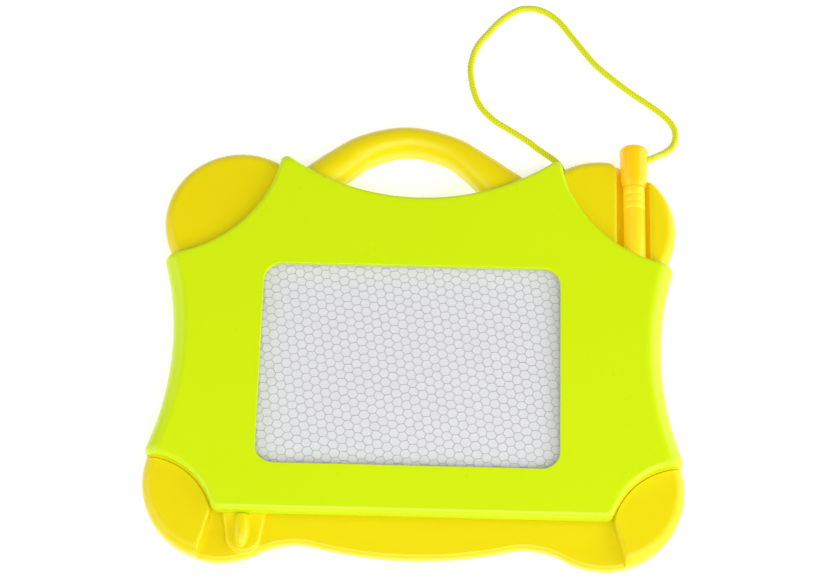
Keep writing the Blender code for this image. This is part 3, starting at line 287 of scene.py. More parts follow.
SOCKET_RADIUS = PEN_BARREL_RADIUS + CLEARANCE
SOCKET_SOUTH = PEN_TIP - PEN_MAGNET_PROUD - SOCKET_END_GAP
PEN_CORD_PLACE = Vector((PEN_X, PEN_END - PEN_CORD_SET, PEN_AXIS_HEIGHT))
TAB_BOTTOM = LEDGE_HEIGHT + CLEARANCE
TAB_TOP = TAB_BOTTOM + TAB_THICKNESS
TAB_X = -(EAR_STEP_NEAR - TAB_INSET - TAB_WIDTH / 2)
TRAVEL = -2 * TAB_X
BAR_X = TAB_X + BAR_OFFSET
BAR_SOUTH = WINDOW_SOUTH - BAR_OVERLAP
BAR_NORTH = WINDOW_SOUTH + WINDOW_DEPTH + BAR_OVERLAP
LUG_SOUTH = LEDGE_INNER + SLIDE_CLEARANCE
LUG_TOP = TAB_BOTTOM - CLEARANCE
PEG_Y = (LUG_SOUTH + BAR_SOUTH) / 2
SCREW_PLACES = (
    (-(UPPER_EAR_X - SCREW_TOP_IN), UPPER_EAR_Y + SCREW_TOP_UP),
    (UPPER_EAR_X - SCREW_TOP_IN, UPPER_EAR_Y + SCREW_TOP_UP),
    (-(HALF_WIDTH - SCREW_SIDE_INSET), COVER_WAIST_Y + SCREW_SIDE_UP),
    (PEN_X - SCREW_PEN_OFFSET, COVER_WAIST_Y + SCREW_SIDE_UP),
    (-(HALF_WIDTH - SCREW_SIDE_INSET), COVER_WAIST_Y - SCREW_SIDE_DOWN),
    (HALF_WIDTH - SCREW_SIDE_INSET, COVER_WAIST_Y - SCREW_SIDE_DOWN),
)

# Camera, fitted to the photograph's view of the board
CAMERA_PLACE = (0.009861, -0.286677, 0.786085)
CAMERA_RIGHT = (0.99963445, 0.02661136, -0.00477569)
CAMERA_UP = (-0.0230107, 0.93014524, 0.36647011)

# Studio: floor, and (name of a soft light and of its power setting, place, size)
FLOOR_REACH = 4.0
FLOOR_DROP = 0.0001
LIGHTS = (
    ("south", (0.2, -0.85, 0.95), (1.6, 0.8)),
    ("east", (1.10, -0.15, 0.47), (2.1, 1.0)),
    ("west", (-1.15, -0.10, 0.65), (1.4, 1.0)),
    ("north", (-0.2, 1.2, 0.60), (1.4, 0.5)),
    ("overhead", (0.1, -0.60, 1.40), (1.2, 0.8)),
)

# Sockets that take the plastics' colour, base colour and a painted glow that lifts their shade: the cap's
# glow against the shells', the barrel's against the cap's
COLOUR_AND_PAINTED_GLOW_SOCKETS = ("Base Color", "Emission Color")
PEN_GLOW_SHARE = 2.0
BARREL_GLOW_SHARE = 1.3


# Colours and shader nodes

def linear(code):
    """Turn an sRGB hex colour into linear RGBA."""
    parts = [int(code[index:index + 2], 16) / 255 for index in (0, 2, 4)]
    made = [part / 12.92 if part <= 0.04045 else ((part + 0.055) / 1.055) ** 2.4 for part in parts]
    return (*made, 1.0)


def add_node(tree, kind, settings=(), links=()):
    """Add one node; settings are (socket or property, value), links (socket, node, output)."""
    node = tree.nodes.new(kind)
    for name, value in settings:
        if name in node.inputs:
            node.inputs[name].default_value = value
        else:
            setattr(node, name, value)
    for name, source, output in links:
        tree.links.new(source.outputs[output], node.inputs[name])
    return node


def new_material(name, settings):
    """A material with one Principled shader; returns it, its tree and the shader."""
    made = bpy.data.materials.new(name)
    made.use_nodes = True
    shader = made.node_tree.nodes["Principled BSDF"]
    for socket, value in settings:
        shader.inputs[socket].default_value = value
    return made, made.node_tree, shader


def noise(tree, size_mm, detail=2.0):
    """Noise on Object coordinates, with grains of a real size in millimetres."""
    place = add_node(tree, "ShaderNodeTexCoord")
    return add_node(tree, "ShaderNodeTexNoise", (("Scale", 1.0 / (size_mm * MM)), ("Detail", detail)),
                    (("Vector", place, "Object"),))


def two_tone(tree, shader, factor, colours, sockets=("Base Color",)):
    """Mix two colours by a (node, output) factor into the shader's sockets."""
    tint = add_node(tree, "ShaderNodeMix", (("data_type", "RGBA"),), (("Factor", *factor),))
    tint.inputs[6].default_value, tint.inputs[7].default_value = colours
    for socket in sockets:
        tree.links.new(tint.outputs[2], shader.inputs[socket])


def drifting_gloss(tree, shader, cloud, low, high):
    gloss = add_node(tree, "ShaderNodeMapRange", (("To Min", low), ("To Max", high)),
                     (("Value", cloud, "Fac"),))
    tree.links.new(gloss.outputs["Result"], shader.inputs["Roughness"])


def raised_grain(tree, shader, grain, strength, depth_mm, links=()):
    bump = add_node(tree, "ShaderNodeBump", (("Strength", strength), ("Distance", depth_mm * MM)),
                    (("Height", grain, "Fac"), *links))
    tree.links.new(bump.outputs["Normal"], shader.inputs["Normal"])


def plain_material(name, colour, low, high, size_mm, settings=(), detail=2.0):
    """One colour, whose roughness drifts between low and high over a real size."""
    made, tree, shader = new_material(name, (("Base Color", colour), *settings))
    drifting_gloss(tree, shader, noise(tree, size_mm, detail), low, high)
    return made


def moulded_plastic(name, colours, roughness, glow, edge_mm):
    """Injection-moulded plastic: even colour, slightly cloudy gloss, edges just broken.

    glow is painted light: an even emission of the plastic's colour that lifts its shade, partly standing
    for the fluorescent pigment's own glow."""
    made, tree, shader = new_material(name, (
        ("IOR", 1.50), ("Specular IOR Level", 0.45), ("Emission Strength", glow),
    ))
    # The colour also feeds the emission: painted glow that lifts the plastic's shade
    two_tone(tree, shader, (noise(tree, 34.0), "Fac"), colours, COLOUR_AND_PAINTED_GLOW_SOCKETS)
    drifting_gloss(tree, shader, noise(tree, 9.0, 3.0), roughness - 0.03, roughness + 0.05)
    edge = add_node(tree, "ShaderNodeBevel", (("samples", 6), ("Radius", edge_mm * MM)))
    raised_grain(tree, shader, noise(tree, 0.5, 1.0), 0.10, 0.02, (("Normal", edge, "Normal"),))
    return made


# Mesh tools

def to_object(bm, name):
    """Turn a bmesh into an object with its faces pointing out."""
    bmesh.ops.recalc_face_normals(bm, faces=bm.faces)
    if bm.calc_volume(signed=True) < 0.0:
        bmesh.ops.reverse_faces(bm, faces=bm.faces)
    mesh = bpy.data.meshes.new(name)
    bm.to_mesh(mesh)
    bm.free()
    return linked(name, mesh)


def linked(name, data):
    """A new object in the scene."""
    made = bpy.data.objects.new(name, data)
    bpy.context.scene.collection.objects.link(made)
    return made


def move_mesh(piece, matrix):
    """Move a piece by its mesh, so that its object stays at the origin."""
    piece.data.transform(matrix)
    return piece


def combine(solid, other, operation):
    """Boolean one closed solid with another, which is used up."""
    step = solid.modifiers.new("shape", "BOOLEAN")
    step.operation, step.solver, step.object = operation, "MANIFOLD", other
    bpy.context.view_layer.update()
    graph = bpy.context.evaluated_depsgraph_get()
    mesh = bpy.data.meshes.new_from_object(solid.evaluated_get(graph))
    solid.modifiers.clear()
    solid.data = mesh
    bpy.data.objects.remove(other, do_unlink=True)
    return solid


def join(solid, other):
    return combine(solid, other, "UNION")


def cut(solid, other):
    return combine(solid, other, "DIFFERENCE")


def keep(solid, other):
    return combine(solid, other, "INTERSECT")


def coat(piece, material, nodes, sharp_degrees):
    """Give a finished piece its material and shading, and hide the imported parts that it replaces."""
    piece.data.materials.clear()
    piece.data.materials.append(material)
    piece.data.shade_smooth()
    piece.data.set_sharp_from_angle(angle=math.radians(sharp_degrees))
    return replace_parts(piece, *nodes)


def dress(piece, body, material, nodes, sharp_degrees=MOULDING_SHARP):
    """Coat a piece and let it ride its body."""
    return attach(coat(piece, material, nodes, sharp_degrees), body)


def even_normals(piece):
    """Keep wide flat faces flat next to their rounded edges."""
    step = piece.modifiers.new("even_normals", "WEIGHTED_NORMAL")
    step.keep_sharp = True
    step.weight = 80


def wear(node, material):
    """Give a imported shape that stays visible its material."""
    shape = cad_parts[node]
    shape.data.materials.clear()
    shape.data.materials.append(material)


def layered(name, rings, depths=None):
    """Extrude one outline up through rings of equal count, closed at both ends.

    depths gives each corner of each ring a value that its material can read."""
    bm = bmesh.new()
    number = bm.verts.layers.int.new("number")
    depth = bm.verts.layers.float.new("depth") if depths else None
    corners = [bm.verts.new(point) for point in rings[0]]
    for index, corner in enumerate(corners):
        corner[number] = index
    top = bm.faces.new(corners)
    for level, ring in enumerate(rings[1:]):
        grown = bmesh.ops.extrude_face_region(bm, geom=[top])["geom"]
        if level:
            bmesh.ops.delete(bm, geom=[top], context="FACES_ONLY")
        top = next(item for item in grown if isinstance(item, bmesh.types.BMFace))
        for corner in top.verts:
            corner.co = ring[corner[number]]
            if depths:
                corner[depth] = depths[level + 1][corner[number]]
    return to_object(bm, name)


def raised(name, levels, outline):
    """Extrude up through (height, inset) levels, with outline(inset) at each height."""
    return layered(name, [[(x, y, height) for x, y in outline(inset)] for height, inset in levels])


def slab(outline, bottom, top):
    return raised("slab", ((bottom, 0.0), (top, 0.0)), lambda _: outline)


def disc(x, y, radius, bottom, top, steps):
    return slab(circle(x, y, radius, steps), bottom, top)


def box(low, high):
    outline = ((low[0], low[1]), (high[0], low[1]), (high[0], high[1]), (low[0], high[1]))
    return slab(outline, low[2], high[2])


def turned(name, profile, steps):
    """Spin a closed profile of (radius, height) pairs round the local Z axis."""
    bm = bmesh.new()
    corners = [bm.verts.new((radius, 0.0, height)) for radius, height in profile]
    edges = [bm.edges.new(pair) for pair in zip(corners, corners[1:])]
    if profile[0][0] > 0.0 or profile[-1][0] > 0.0:
        edges.append(bm.edges.new((corners[-1], corners[0])))
    bmesh.ops.spin(
        bm, geom=corners + edges, cent=(0.0, 0.0, 0.0), axis=(0.0, 0.0, 1.0),
        angle=math.tau, steps=steps, use_merge=True,
    )
    bmesh.ops.remove_doubles(bm, verts=bm.verts, dist=CLEARANCE / 100)
    return to_object(bm, name)


# Outlines and lines

def arc(x, y, radius, start, end, steps):
    turns = [math.radians(start + (end - start) * step / steps) for step in range(steps + 1)]
    return [(x + radius * math.cos(turn), y + radius * math.sin(turn)) for turn in turns]


def circle(x, y, radius, steps):
    return arc(x, y, radius, 0.0, 360.0, steps)[:-1]


def drawn_in(edge, depth):
    """Move an edge towards the material; a hollow edge's radius grows."""
    return (*edge[:-1], edge[-1] + depth)


def crossing(first, second):
    """The place where two edges meet, on the side of the board's centre."""
    if first[0] == "level":
        first, second = second, first
    _, x, y, radius = first
    if second[0] == "level":
        half = math.sqrt(radius ** 2 - (second[1] - y) ** 2)
        found = [(x - half, second[1]), (x + half, second[1])]
    else:
        _, other_x, other_y, other_radius = second
        apart = math.hypot(other_x - x, other_y - y)
        along = (radius ** 2 - other_radius ** 2 + apart ** 2) / (2 * apart)
        half = math.sqrt(radius ** 2 - along ** 2)
        step_x, step_y = (other_x - x) / apart, (other_y - y) / apart
        found = [
            (x + along * step_x - side * half * step_y, y + along * step_y + side * half * step_x)
            for side in (-1, 1)
        ]
    return min(found, key=lambda spot: math.hypot(*spot))


def foot(edge, spot):
    """The point of an edge that lies nearest to a spot."""
    if edge[0] == "level":
        return (spot[0], edge[1])
    _, x, y, radius = edge
    away = math.hypot(spot[0] - x, spot[1] - y)
    return (x + (spot[0] - x) * radius / away, y + (spot[1] - y) * radius / away)


def sweep(centre, start, end, steps):
    """Points from start to end round a centre, the short way, without the end."""
    x, y = centre
    radius = math.hypot(start[0] - x, start[1] - y)
    first = math.degrees(math.atan2(start[1] - y, start[0] - x))
    last = math.degrees(math.atan2(end[1] - y, end[0] - x))
    last = first + (last - first + 180.0) % 360.0 - 180.0
    return arc(x, y, radius, first, last, steps)[:-1]


def rounded_outline(edges, radii):
    """Close the edges into one outline, counter-clockwise, with rounded corners."""
    corners = []
    for index, radius in enumerate(radii):
        before, after = edges[index - 1], edges[index]
        centre = crossing(drawn_in(before, radius), drawn_in(after, radius))
        corners.append((centre, foot(before, centre), foot(after, centre)))
    outline = []
    for index, edge in enumerate(edges):
        centre, start, end = corners[index]
        outline += sweep(centre, start, end, CORNER_STEPS)
        start, end = end, corners[(index + 1) % len(edges)][1]
        if edge[0] == "level":
            outline += [
                (start[0] + (end[0] - start[0]) * step / EDGE_STEPS, start[1])
                for step in range(EDGE_STEPS)
            ]
        else:
            outline += sweep(edge[1:3], start, end, EDGE_STEPS)
    return outline


def cover_outline(height, wall, drawn):
    """The cover's outline at a height, wall deep; drawn insets all but the rolled sides."""
    share = max(0.0, min(1.0, (height - COVER_FOOT) / (COVER_SHOULDER - COVER_FOOT)))
    rise = max(0.0, min(COVER_SIDE_ROLL, height - COVER_ROLL_START))
    side = wall + COVER_SIDE_ROLL - math.sqrt(COVER_SIDE_ROLL ** 2 - rise ** 2)
    steep = wall + drawn + COVER_STEEP_RUN * share
    north = wall + drawn + COVER_NORTH_RUN * share
    east = [
        ("hollow", LOWER_ARC_X, LOWER_ARC_Y, COVER_LOWER_ARC_RADIUS + steep),
        ("hollow", COVER_SIDE_X, COVER_WAIST_Y, COVER_SIDE_RADIUS + side),
        ("hollow", UPPER_ARC_X, UPPER_ARC_Y, COVER_UPPER_ARC_RADIUS + steep),
    ]
    edges = [("level", COVER_SOUTH + steep), *east]
    edges.append(("hollow", 0.0, COVER_NORTH + COVER_NORTH_RADIUS, COVER_NORTH_RADIUS + north))
    edges += [(kind, -x, y, radius) for kind, x, y, radius in reversed(east)]
    return rounded_outline(edges, 2 * [COVER_SOUTH_CORNER_RADIUS] + 6 * [COVER_CORNER_RADIUS])


def cover_ring(height, wall, drawn=0.0):
    return [(x, y, height) for x, y in cover_outline(height, wall, drawn)]


def cover_block(name, wall, *heights):
    """The space inside the cover's outline, wall deep."""
    return layered(name, [cover_ring(height, wall) for height in heights])


def rounded_rectangle(width, depth, radius, centre_x, centre_y, steps):
    outline = []
    for turn, (side_x, side_y) in enumerate(((1, 1), (-1, 1), (-1, -1), (1, -1))):
        x = centre_x + side_x * (width / 2 - radius)
        y = centre_y + side_y * (depth / 2 - radius)
        outline += arc(x, y, radius, 90.0 * turn, 90.0 * (turn + 1), steps)
    return outline


def quarter(steps):
    return [math.radians(90.0 * step / steps) for step in range(steps + 1)]


def fillet_levels(top, radius, steps=FILLET_STEPS):
    """(height, inset) pairs up the quarter round of a top edge."""
    return [(top - radius + radius * math.sin(turn), radius * (1 - math.cos(turn)))
            for turn in quarter(steps)]


def foot_levels(bottom, radius):
    """(height, inset) pairs up the quarter round of a bottom edge, or the edge alone."""
    if not radius:
        return [(bottom, 0.0)]
    return [(bottom + radius * (1 - math.cos(turn)), radius * (1 - math.sin(turn)))
            for turn in quarter(SMALL_ROUND_STEPS)]


def smooth_line(points, steps):
    """A smooth curve through points of any dimension, evenly stepped by piece."""
    padded = [2 * points[0] - points[1]] + list(points) + [2 * points[-1] - points[-2]]
    found = []
    for index in range(steps + 1):
        place_on = index * (len(points) - 1) / steps
        piece = min(int(place_on), len(points) - 2)
        t = place_on - piece
        a, b, c, d = padded[piece:piece + 4]
        found.append(0.5 * (
            2 * b + (c - a) * t + (2 * a - 5 * b + 4 * c - d) * t ** 2
            + (3 * b - a - 3 * c + d) * t ** 3
        ))
    return found


def even_line(fine, spacing):
    """Points at equal steps along a fine line, and its length."""
    lengths = [0.0]
    for before, after in zip(fine, fine[1:]):
        lengths.append(lengths[-1] + (after - before).length)
    count = max(2, round(lengths[-1] / spacing))
    line, index = [], 0
    for step in range(count + 1):
        goal = lengths[-1] * step / count
        while index < len(fine) - 2 and lengths[index + 1] < goal:
            index += 1
        share = (goal - lengths[index]) / (lengths[index + 1] - lengths[index])
        line.append(fine[index].lerp(fine[index + 1], share))
    return line, lengths[-1]


# Settings that a user would change

def number(name, says, default, least=0.0, **more):
    return bpy.props.FloatProperty(name=name, description=says, default=default, min=least, **more)


def length(name, says, default, least=0.0, **more):
    return number(name, says, default, least, unit="LENGTH", **more)


def angle(name, says, degrees):
    return bpy.props.FloatProperty(
        name=name, description=says, default=math.radians(degrees), subtype="ANGLE")


def colour(name, says, code):
    return bpy.props.FloatVectorProperty(
        name=name, description=says, default=linear(code), size=4, subtype="COLOR")


class BoardShape(bpy.types.PropertyGroup):
    ear_fillet: length("Ear fillet", "Roll of the ears' top edge", 0.0042)
    cover_fillet: length("Cover fillet", "Round of the cover's top edge", COVER_FILLET)
    window_edge: length("Window edge", "Round of the window's top edge", 0.0003)
    trough_edge: length(
        "Trough edge", "Round of the pen trough's top edge", 0.0011, max=EAR_HEIGHT - TROUGH_CENTRE)
    trough_spread: number(
        "Trough spread", "Width of the trough's round top edge against its height", 2.1, 1.0)
    mouth_left: length("Mouth left", "Round of the trough's left corner at the ear's rim", 0.0060)
    mouth_right: length("Mouth right", "Round of the trough's right corner at the ear's rim", 0.0020)
    trough_left: length(
        "Trough left", "How far the trough's left wall stands out from its plain run", 0.0003)
    trough_right: length(
        "Trough right", "How far the trough's right wall stands in, close to the cap", 0.0005,
        max=0.0005)
    step_edge: length("Step edge", "Round of the lower ears' edge above the ledge", 0.0016)
    step_slope: length(
        "Step slope", "How far the step from the ledge to the lower ears leans back", 0.0002)
    seam_width: length(
        "Seam width", "Width of the dark seam in the lower ears along the cover's foot", 0.0004, 0.0001)
    seam_depth: length(
        "Seam depth", "Depth of the dark seam in the lower ears along the cover's foot", 0.0014, 0.0001)
    foot_edge: length("Foot edge", "Round of the outer edges on the table", 0.0004)
    tab_fillet: length("Tab fillet", "Round of the slider tab's top edge", 0.0019)
    grip_width: length("Grip width", "Width of the thumb grip", 0.00644, 0.001)
    grip_aside: length(
        "Grip aside", "How far the thumb grip stands left of the tab's middle", 0.0007)
    grip_reach: number(
        "Grip reach", "Half length of the thumb grip as a share of the part that shows", 0.62, 0.4,
        max=1.0)
    grip_turn: number(
        "Grip turn", "How far the thumb grip's round is carried towards its top, in degrees",
        86.0, 10.0, max=88.0)
    cap_round: length("Cap round", "Round of the pen cap's end", 0.0020)
    pen_edge: length("Pen edge", "Round of the pen's small edges", 0.00012)
    pen_groove_width: length("Pen groove width", "Width of the rings cut round the barrel", 0.00028)
    pen_groove_depth: length("Pen groove depth", "Depth of the rings cut round the barrel", 0.00012)


class BoardColours(bpy.types.PropertyGroup):
    shell: colour("Rear shell", "Yellow of the rear shell", "EEDA00")
    shell_shade: colour("Rear shell shade", "Deeper yellow in the moulding's flow", "EAD600")
    cover: colour("Cover", "Lime of the front cover", "D3EE06")
    cover_shade: colour("Cover shade", "Deeper lime in the moulding's flow", "CFEB04")
    pen: colour("Pen", "Amber of the pen", "FFCC0A")
    pen_shade: colour("Pen shade", "Deeper amber in the moulding's flow", "FFC808")
    # Painted light: the barrel and nose are painted lighter than the cap to lift the trough's shade from
    # them
    barrel: colour("Barrel", "Amber of the pen's barrel and nose, a little lighter", "FFD820")
    # Painted light: an even emission of the plastics' and the cord's own colours that lifts their shade,
    # partly standing for the fluorescent pigment
    glow: number("Glow", "Light given back by the fluorescent pigment", 0.09)
    cord: colour("Cord", "Colour of the cord's yarn", "DFE315")
    # Painted shade: the darker colour where the cord's strands dip apart
    cord_painted_shade: colour("Cord shade", "Colour between the cord's strands", "C6C806")


class ScreenLook(bpy.types.PropertyGroup):
    cell_pitch: length("Cell pitch", "Distance between neighbouring cells", 0.00345, 0.001)
    wall: length("Cell wall", "Width of the walls between the cells", 0.00011, 0.00005)
    stretch: number("Stretch", "How much the cells are pulled along the board's width", 1.115, 0.5)
    depth: length("Cell depth", "Depth of the cells under their walls", 0.00014)
    turn: angle("Lattice turn", "Turn of the cell rows from the board's width", -21.0)
    unevenness: length("Unevenness", "How far a cell's corners stray", 0.00020)
    liquid: colour("Liquid", "Pale liquid in the cells", "EBEBEE")
    liquid_shade: colour("Liquid shade", "Slightly darker liquid between clouds", "E5E5E8")
    wall_colour: colour("Walls", "Grey of the cell walls", "A6A6AC")


class CordLook(bpy.types.PropertyGroup):
    plait: length("Plait", "Length of one turn of the cord's strands", 0.0052, 0.001)
    relief: length("Relief", "Depth between the cord's strands", 0.00013)
    bend_turn: angle(
        "Bend turn", "Direction in which the loop passes from the board's motion to the pen's", 34.0)
    strands: bpy.props.IntProperty(
        name="Strands", description="Strands seen round the cord in each direction", default=4, min=2)


class StudioLook(bpy.types.PropertyGroup):
    lens: number("Lens", "Focal length of the camera in millimetres", 93.3, 1.0)
    south: number("South light", "Power of the soft light behind the camera", 7.3, unit="POWER")
    east: number("East light", "Power of the soft light on the right", 13.8, unit="POWER")
    west: number("West light", "Power of the soft light on the left", 6.6, unit="POWER")
    north: number("North light", "Power of the soft light beyond the board", 1.0, unit="POWER")
    overhead: number("Overhead light", "Power of the soft light above", 6.4, unit="POWER")
    surround: number("Surround", "Brightness of the white surroundings", 0.10)
    floor_glow: number("Floor glow", "Light that shines up through the floor", 0.50)
    floor: colour("Floor", "Pale floor of the studio", "E6E6E6")


# Cord and stage

def cord_exit():
    """(place on the ear's outer wall, outward direction) where the cord leaves."""
    turn = math.radians(CORD_EXIT_DEGREES)
    outward = Vector((math.cos(turn), math.sin(turn), 0.0))
    centre = Vector((UPPER_EAR_X, UPPER_EAR_Y, CORD_EXIT_HEIGHT))
    return centre + outward * UPPER_EAR_RADIUS, outward


def cord_marks():
    """The cord's route, from inside the ear to inside the pen's cap."""
    spot, outward = cord_exit()
    inside = spot - outward * (KNOT_DEPTH - KNOT_RADIUS - CLEARANCE)
    route = (*CORD_DOWN, *((x, y, CORD_FLAT_HEIGHT) for x, y in CORD_FLAT), *CORD_UP)
    marks = [inside, spot + outward * CLEARANCE] + [Vector(point) for point in route]
    for radius in (PEN_CAP_RADIUS, PEN_KNOT_RADIUS):
        marks.append(PEN_CORD_PLACE + Vector((1.0, 0.0, 0.0)) * (radius + CLEARANCE))
    return marks


def plaited_tube(name, line, radius, plait, relief, strands, sides):
    """A tube whose surface rises and falls with two crossing sets of strands."""
    side = (line[1] - line[0]).orthogonal().normalized()
    rings, depths, along = [], [], 0.0
    for index, middle in enumerate(line):
        ahead = (line[min(index + 1, len(line) - 1)] - line[max(index - 1, 0)]).normalized()
        side = (side - ahead * side.dot(ahead)).normalized()
        across = ahead.cross(side)
        if index:
            along += math.tau * (middle - line[index - 1]).length / plait
        ring, dips = [], []
        for step in range(sides):
            around = math.tau * step / sides
            first = math.cos(strands * (around + along) / 2) ** 2
            second = math.cos(strands * (around - along) / 2) ** 2
            dip = (1.0 - max(first, second)) ** STRAND_SHARPNESS
            outward = side * math.cos(around) + across * math.sin(around)
            ring.append(middle + outward * (radius - relief * dip))
            dips.append(dip)
        rings.append(ring)
        depths.append(dips)
    return layered(name, rings, depths)


def plaited_yarn(colours):
    """Plaited polyester cord: bright strands with a dull, fuzzy sheen, painted shade in the gaps between
    them and half the plastics' painted glow.
    """
    made, tree, shader = new_material("plaited_polyester", (
        ("Roughness", 0.78), ("Sheen Weight", 0.25), ("Specular IOR Level", 0.25),
        ("Emission Strength", colours.glow / 2),
    ))
    # Painted shade: the yarn darkens towards the gap colour where the strands dip apart, on top of their
    # real relief
    valley = add_node(tree, "ShaderNodeAttribute", (("attribute_name", "depth"),))
    depth = add_node(tree, "ShaderNodeMapRange", (("From Min", 0.15), ("From Max", 0.5)),
                     (("Value", valley, "Fac"),))
    two_tone(tree, shader, (depth, "Result"), (colours.cord, colours.cord_painted_shade), COLOUR_AND_PAINTED_GLOW_SOCKETS)
    raised_grain(tree, shader, noise(tree, 0.35), 0.4, 0.05)
    return made


def knot_line(reach, place):
    """An overhand knot drawn tight round a place."""
    line = []
    for step in range(KNOT_STEPS + 1):
        turn = math.tau * step / KNOT_STEPS
        point = Vector((
            math.sin(turn) + 2 * math.sin(2 * turn),
            math.cos(turn) - 2 * math.cos(2 * turn),
            -KNOT_RISE * math.sin(3 * turn),
        ))
        line.append(place + point * (reach / KNOT_CURVE_REACH))
    return line


class BOARD_OT_camera(bpy.types.Operator):
    """Set the camera at the photograph's angle"""
    bl_idname = "board.camera"
    bl_label = "Camera"

    def execute(self, context):
        data = bpy.data.cameras.new("camera")
        data.sensor_width = 36.0
        data.lens = context.scene.studio_look.lens
        right, up = Vector(CAMERA_RIGHT), Vector(CAMERA_UP)
        turn = Matrix((right, up, right.cross(up))).transposed().to_4x4()
        camera = linked("camera", data)
        camera.matrix_world = Matrix.Translation(CAMERA_PLACE) @ turn
        context.scene.camera = camera
        return {"FINISHED"}


class BOARD_OT_cord(bpy.types.Operator):
    """Lay the plaited cord and its two knots"""
    bl_idname = "board.cord"
    bl_label = "Cord"

    def execute(self, context):
        look = context.scene.cord_look
        marks = cord_marks()
        line, length = even_line(smooth_line(marks, len(marks) * CORD_MARK_STEPS), CORD_SPACING)
        yarn = plaited_yarn(context.scene.board_colours)
        weave = look.plait, look.relief, look.strands
        cord = plaited_tube("plaited_cord", line, CORD_RADIUS, *weave, CORD_SIDES)
        coat(cord, yarn, ("pen_cord",), YARN_SHARP)
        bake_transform(cord)
        spot, outward = cord_exit()
        weave = look.plait, look.relief / 2, look.strands
        for name, node, radius, place, body in (
            ("ear_knot", "cord_knot", KNOT_RADIUS, spot - outward * KNOT_DEPTH, "board"),
            ("cap_knot", "pen_knot", PEN_KNOT_RADIUS, PEN_CORD_PLACE, "pen"),
        ):
            thin = radius * KNOT_CORD_SHARE
            turns, _ = even_line(knot_line(radius - thin, place), CORD_SPACING)
            knot = plaited_tube(name, turns, thin, *weave, KNOT_SIDES)
            dress(knot, body, yarn, (node,), YARN_SHARP)
        return {"FINISHED"}


def soft_light(name, place, size, power):
    """A large soft light that looks at the middle of the board."""
    data = bpy.data.lights.new(name, "AREA")
    data.shape = "RECTANGLE"
    data.size, data.size_y = size
    data.energy = power
    lamp = linked(name, data)
    lamp.location = place
    lamp.rotation_euler = (-Vector(place)).to_track_quat("-Z", "Y").to_euler()


class BOARD_OT_stage(bpy.types.Operator):
    """Lay a pale floor and set plain soft studio light"""
    bl_idname = "board.stage"
    bl_label = "Stage"

    def execute(self, context):
        scene, look = context.scene, context.scene.studio_look
        bm = bmesh.new()
        bmesh.ops.create_grid(bm, x_segments=1, y_segments=1, size=FLOOR_REACH)
        bmesh.ops.translate(bm, verts=bm.verts, vec=(0.0, 0.0, -FLOOR_DROP))
        mesh = bpy.data.meshes.new("floor")
        bm.to_mesh(mesh)
        bm.free()
        floor = linked("floor", mesh)
        # Matt white card, slightly uneven in its gloss
        mesh.materials.append(plain_material("matt_white_card", look.floor, 0.85, 0.95, 1.5, (
            ("Specular IOR Level", 0.1),
            ("Emission Color", linear("FFFFFF")), ("Emission Strength", look.floor_glow),
        )))

        world = bpy.data.worlds.new("studio")
        world.use_nodes = True
        backdrop = world.node_tree.nodes["Background"]
        backdrop.inputs["Color"].default_value = linear("FFFFFF")
        backdrop.inputs["Strength"].default_value = look.surround
        scene.world = world
        for name, place, size in LIGHTS:
            soft_light(name, place, size, getattr(look, name))
        scene.view_settings.view_transform = "Standard"
        return {"FINISHED"}


# Rear shell

def rolled_disc(x, y, radius, inset, fillet, foot_edge=0.0):
    """A round ear with its top edge rolled over; inset shrinks it on every side."""
    levels = foot_levels(0.0, foot_edge)
    levels += fillet_levels(EAR_HEIGHT - inset, fillet - inset, 2 * FILLET_STEPS)
    return raised("ear", levels, lambda drawn: circle(x, y, radius - inset - drawn, EAR_STEPS))


def ear_places():
    """(name, x, y, radius, corner arc's x, y and radius) of the four ears."""
    places = []
    for word, side in (("left", -1), ("right", 1)):
        places.append((
            "lower_" + word, side * LOWER_EAR_X, LOWER_EAR_Y, LOWER_EAR_RADIUS,
            side * LOWER_ARC_X, LOWER_ARC_Y, COVER_LOWER_ARC_RADIUS,
        ))
        places.append((
            "upper_" + word, side * UPPER_EAR_X, UPPER_EAR_Y, UPPER_EAR_RADIUS,
            side * UPPER_ARC_X, UPPER_ARC_Y, COVER_UPPER_ARC_RADIUS,
        ))
    return places


def ear_island(shape, spot, inset):
    """The part of an ear that stands outside the cover, or the hollow inside it."""
    name, x, y, radius, arc_x, arc_y, arc_radius = spot
    if inset:
        island = disc(x, y, radius - inset, -OVERRUN, EAR_HEIGHT - inset, EAR_STEPS)
        step = (0.0, 0.0)
    else:
        island = rolled_disc(x, y, radius, 0.0, shape.ear_fillet, shape.foot_edge)
        step = (shape.step_edge, shape.step_slope)
    keep(island, disc(arc_x, arc_y, arc_radius + EAR_LAP - inset, -2 * OVERRUN, COVER_TOP, EAR_STEPS))
    if name.startswith("lower"):
        cut(island, ledge_corridor(inset, *step))
    return island


def ear_seam(shape, spot):
    """A narrow groove in an ear's top, close along the foot of the cover's corner arc."""
    _, _, _, _, arc_x, arc_y, arc_radius = spot
    bottom = EAR_HEIGHT - shape.seam_depth
    seam = disc(arc_x, arc_y, arc_radius, bottom, COVER_TOP, EAR_STEPS)
    inner = arc_radius - shape.seam_width
    return cut(seam, disc(arc_x, arc_y, inner, 0.0, COVER_TOP + OVERRUN, EAR_STEPS))


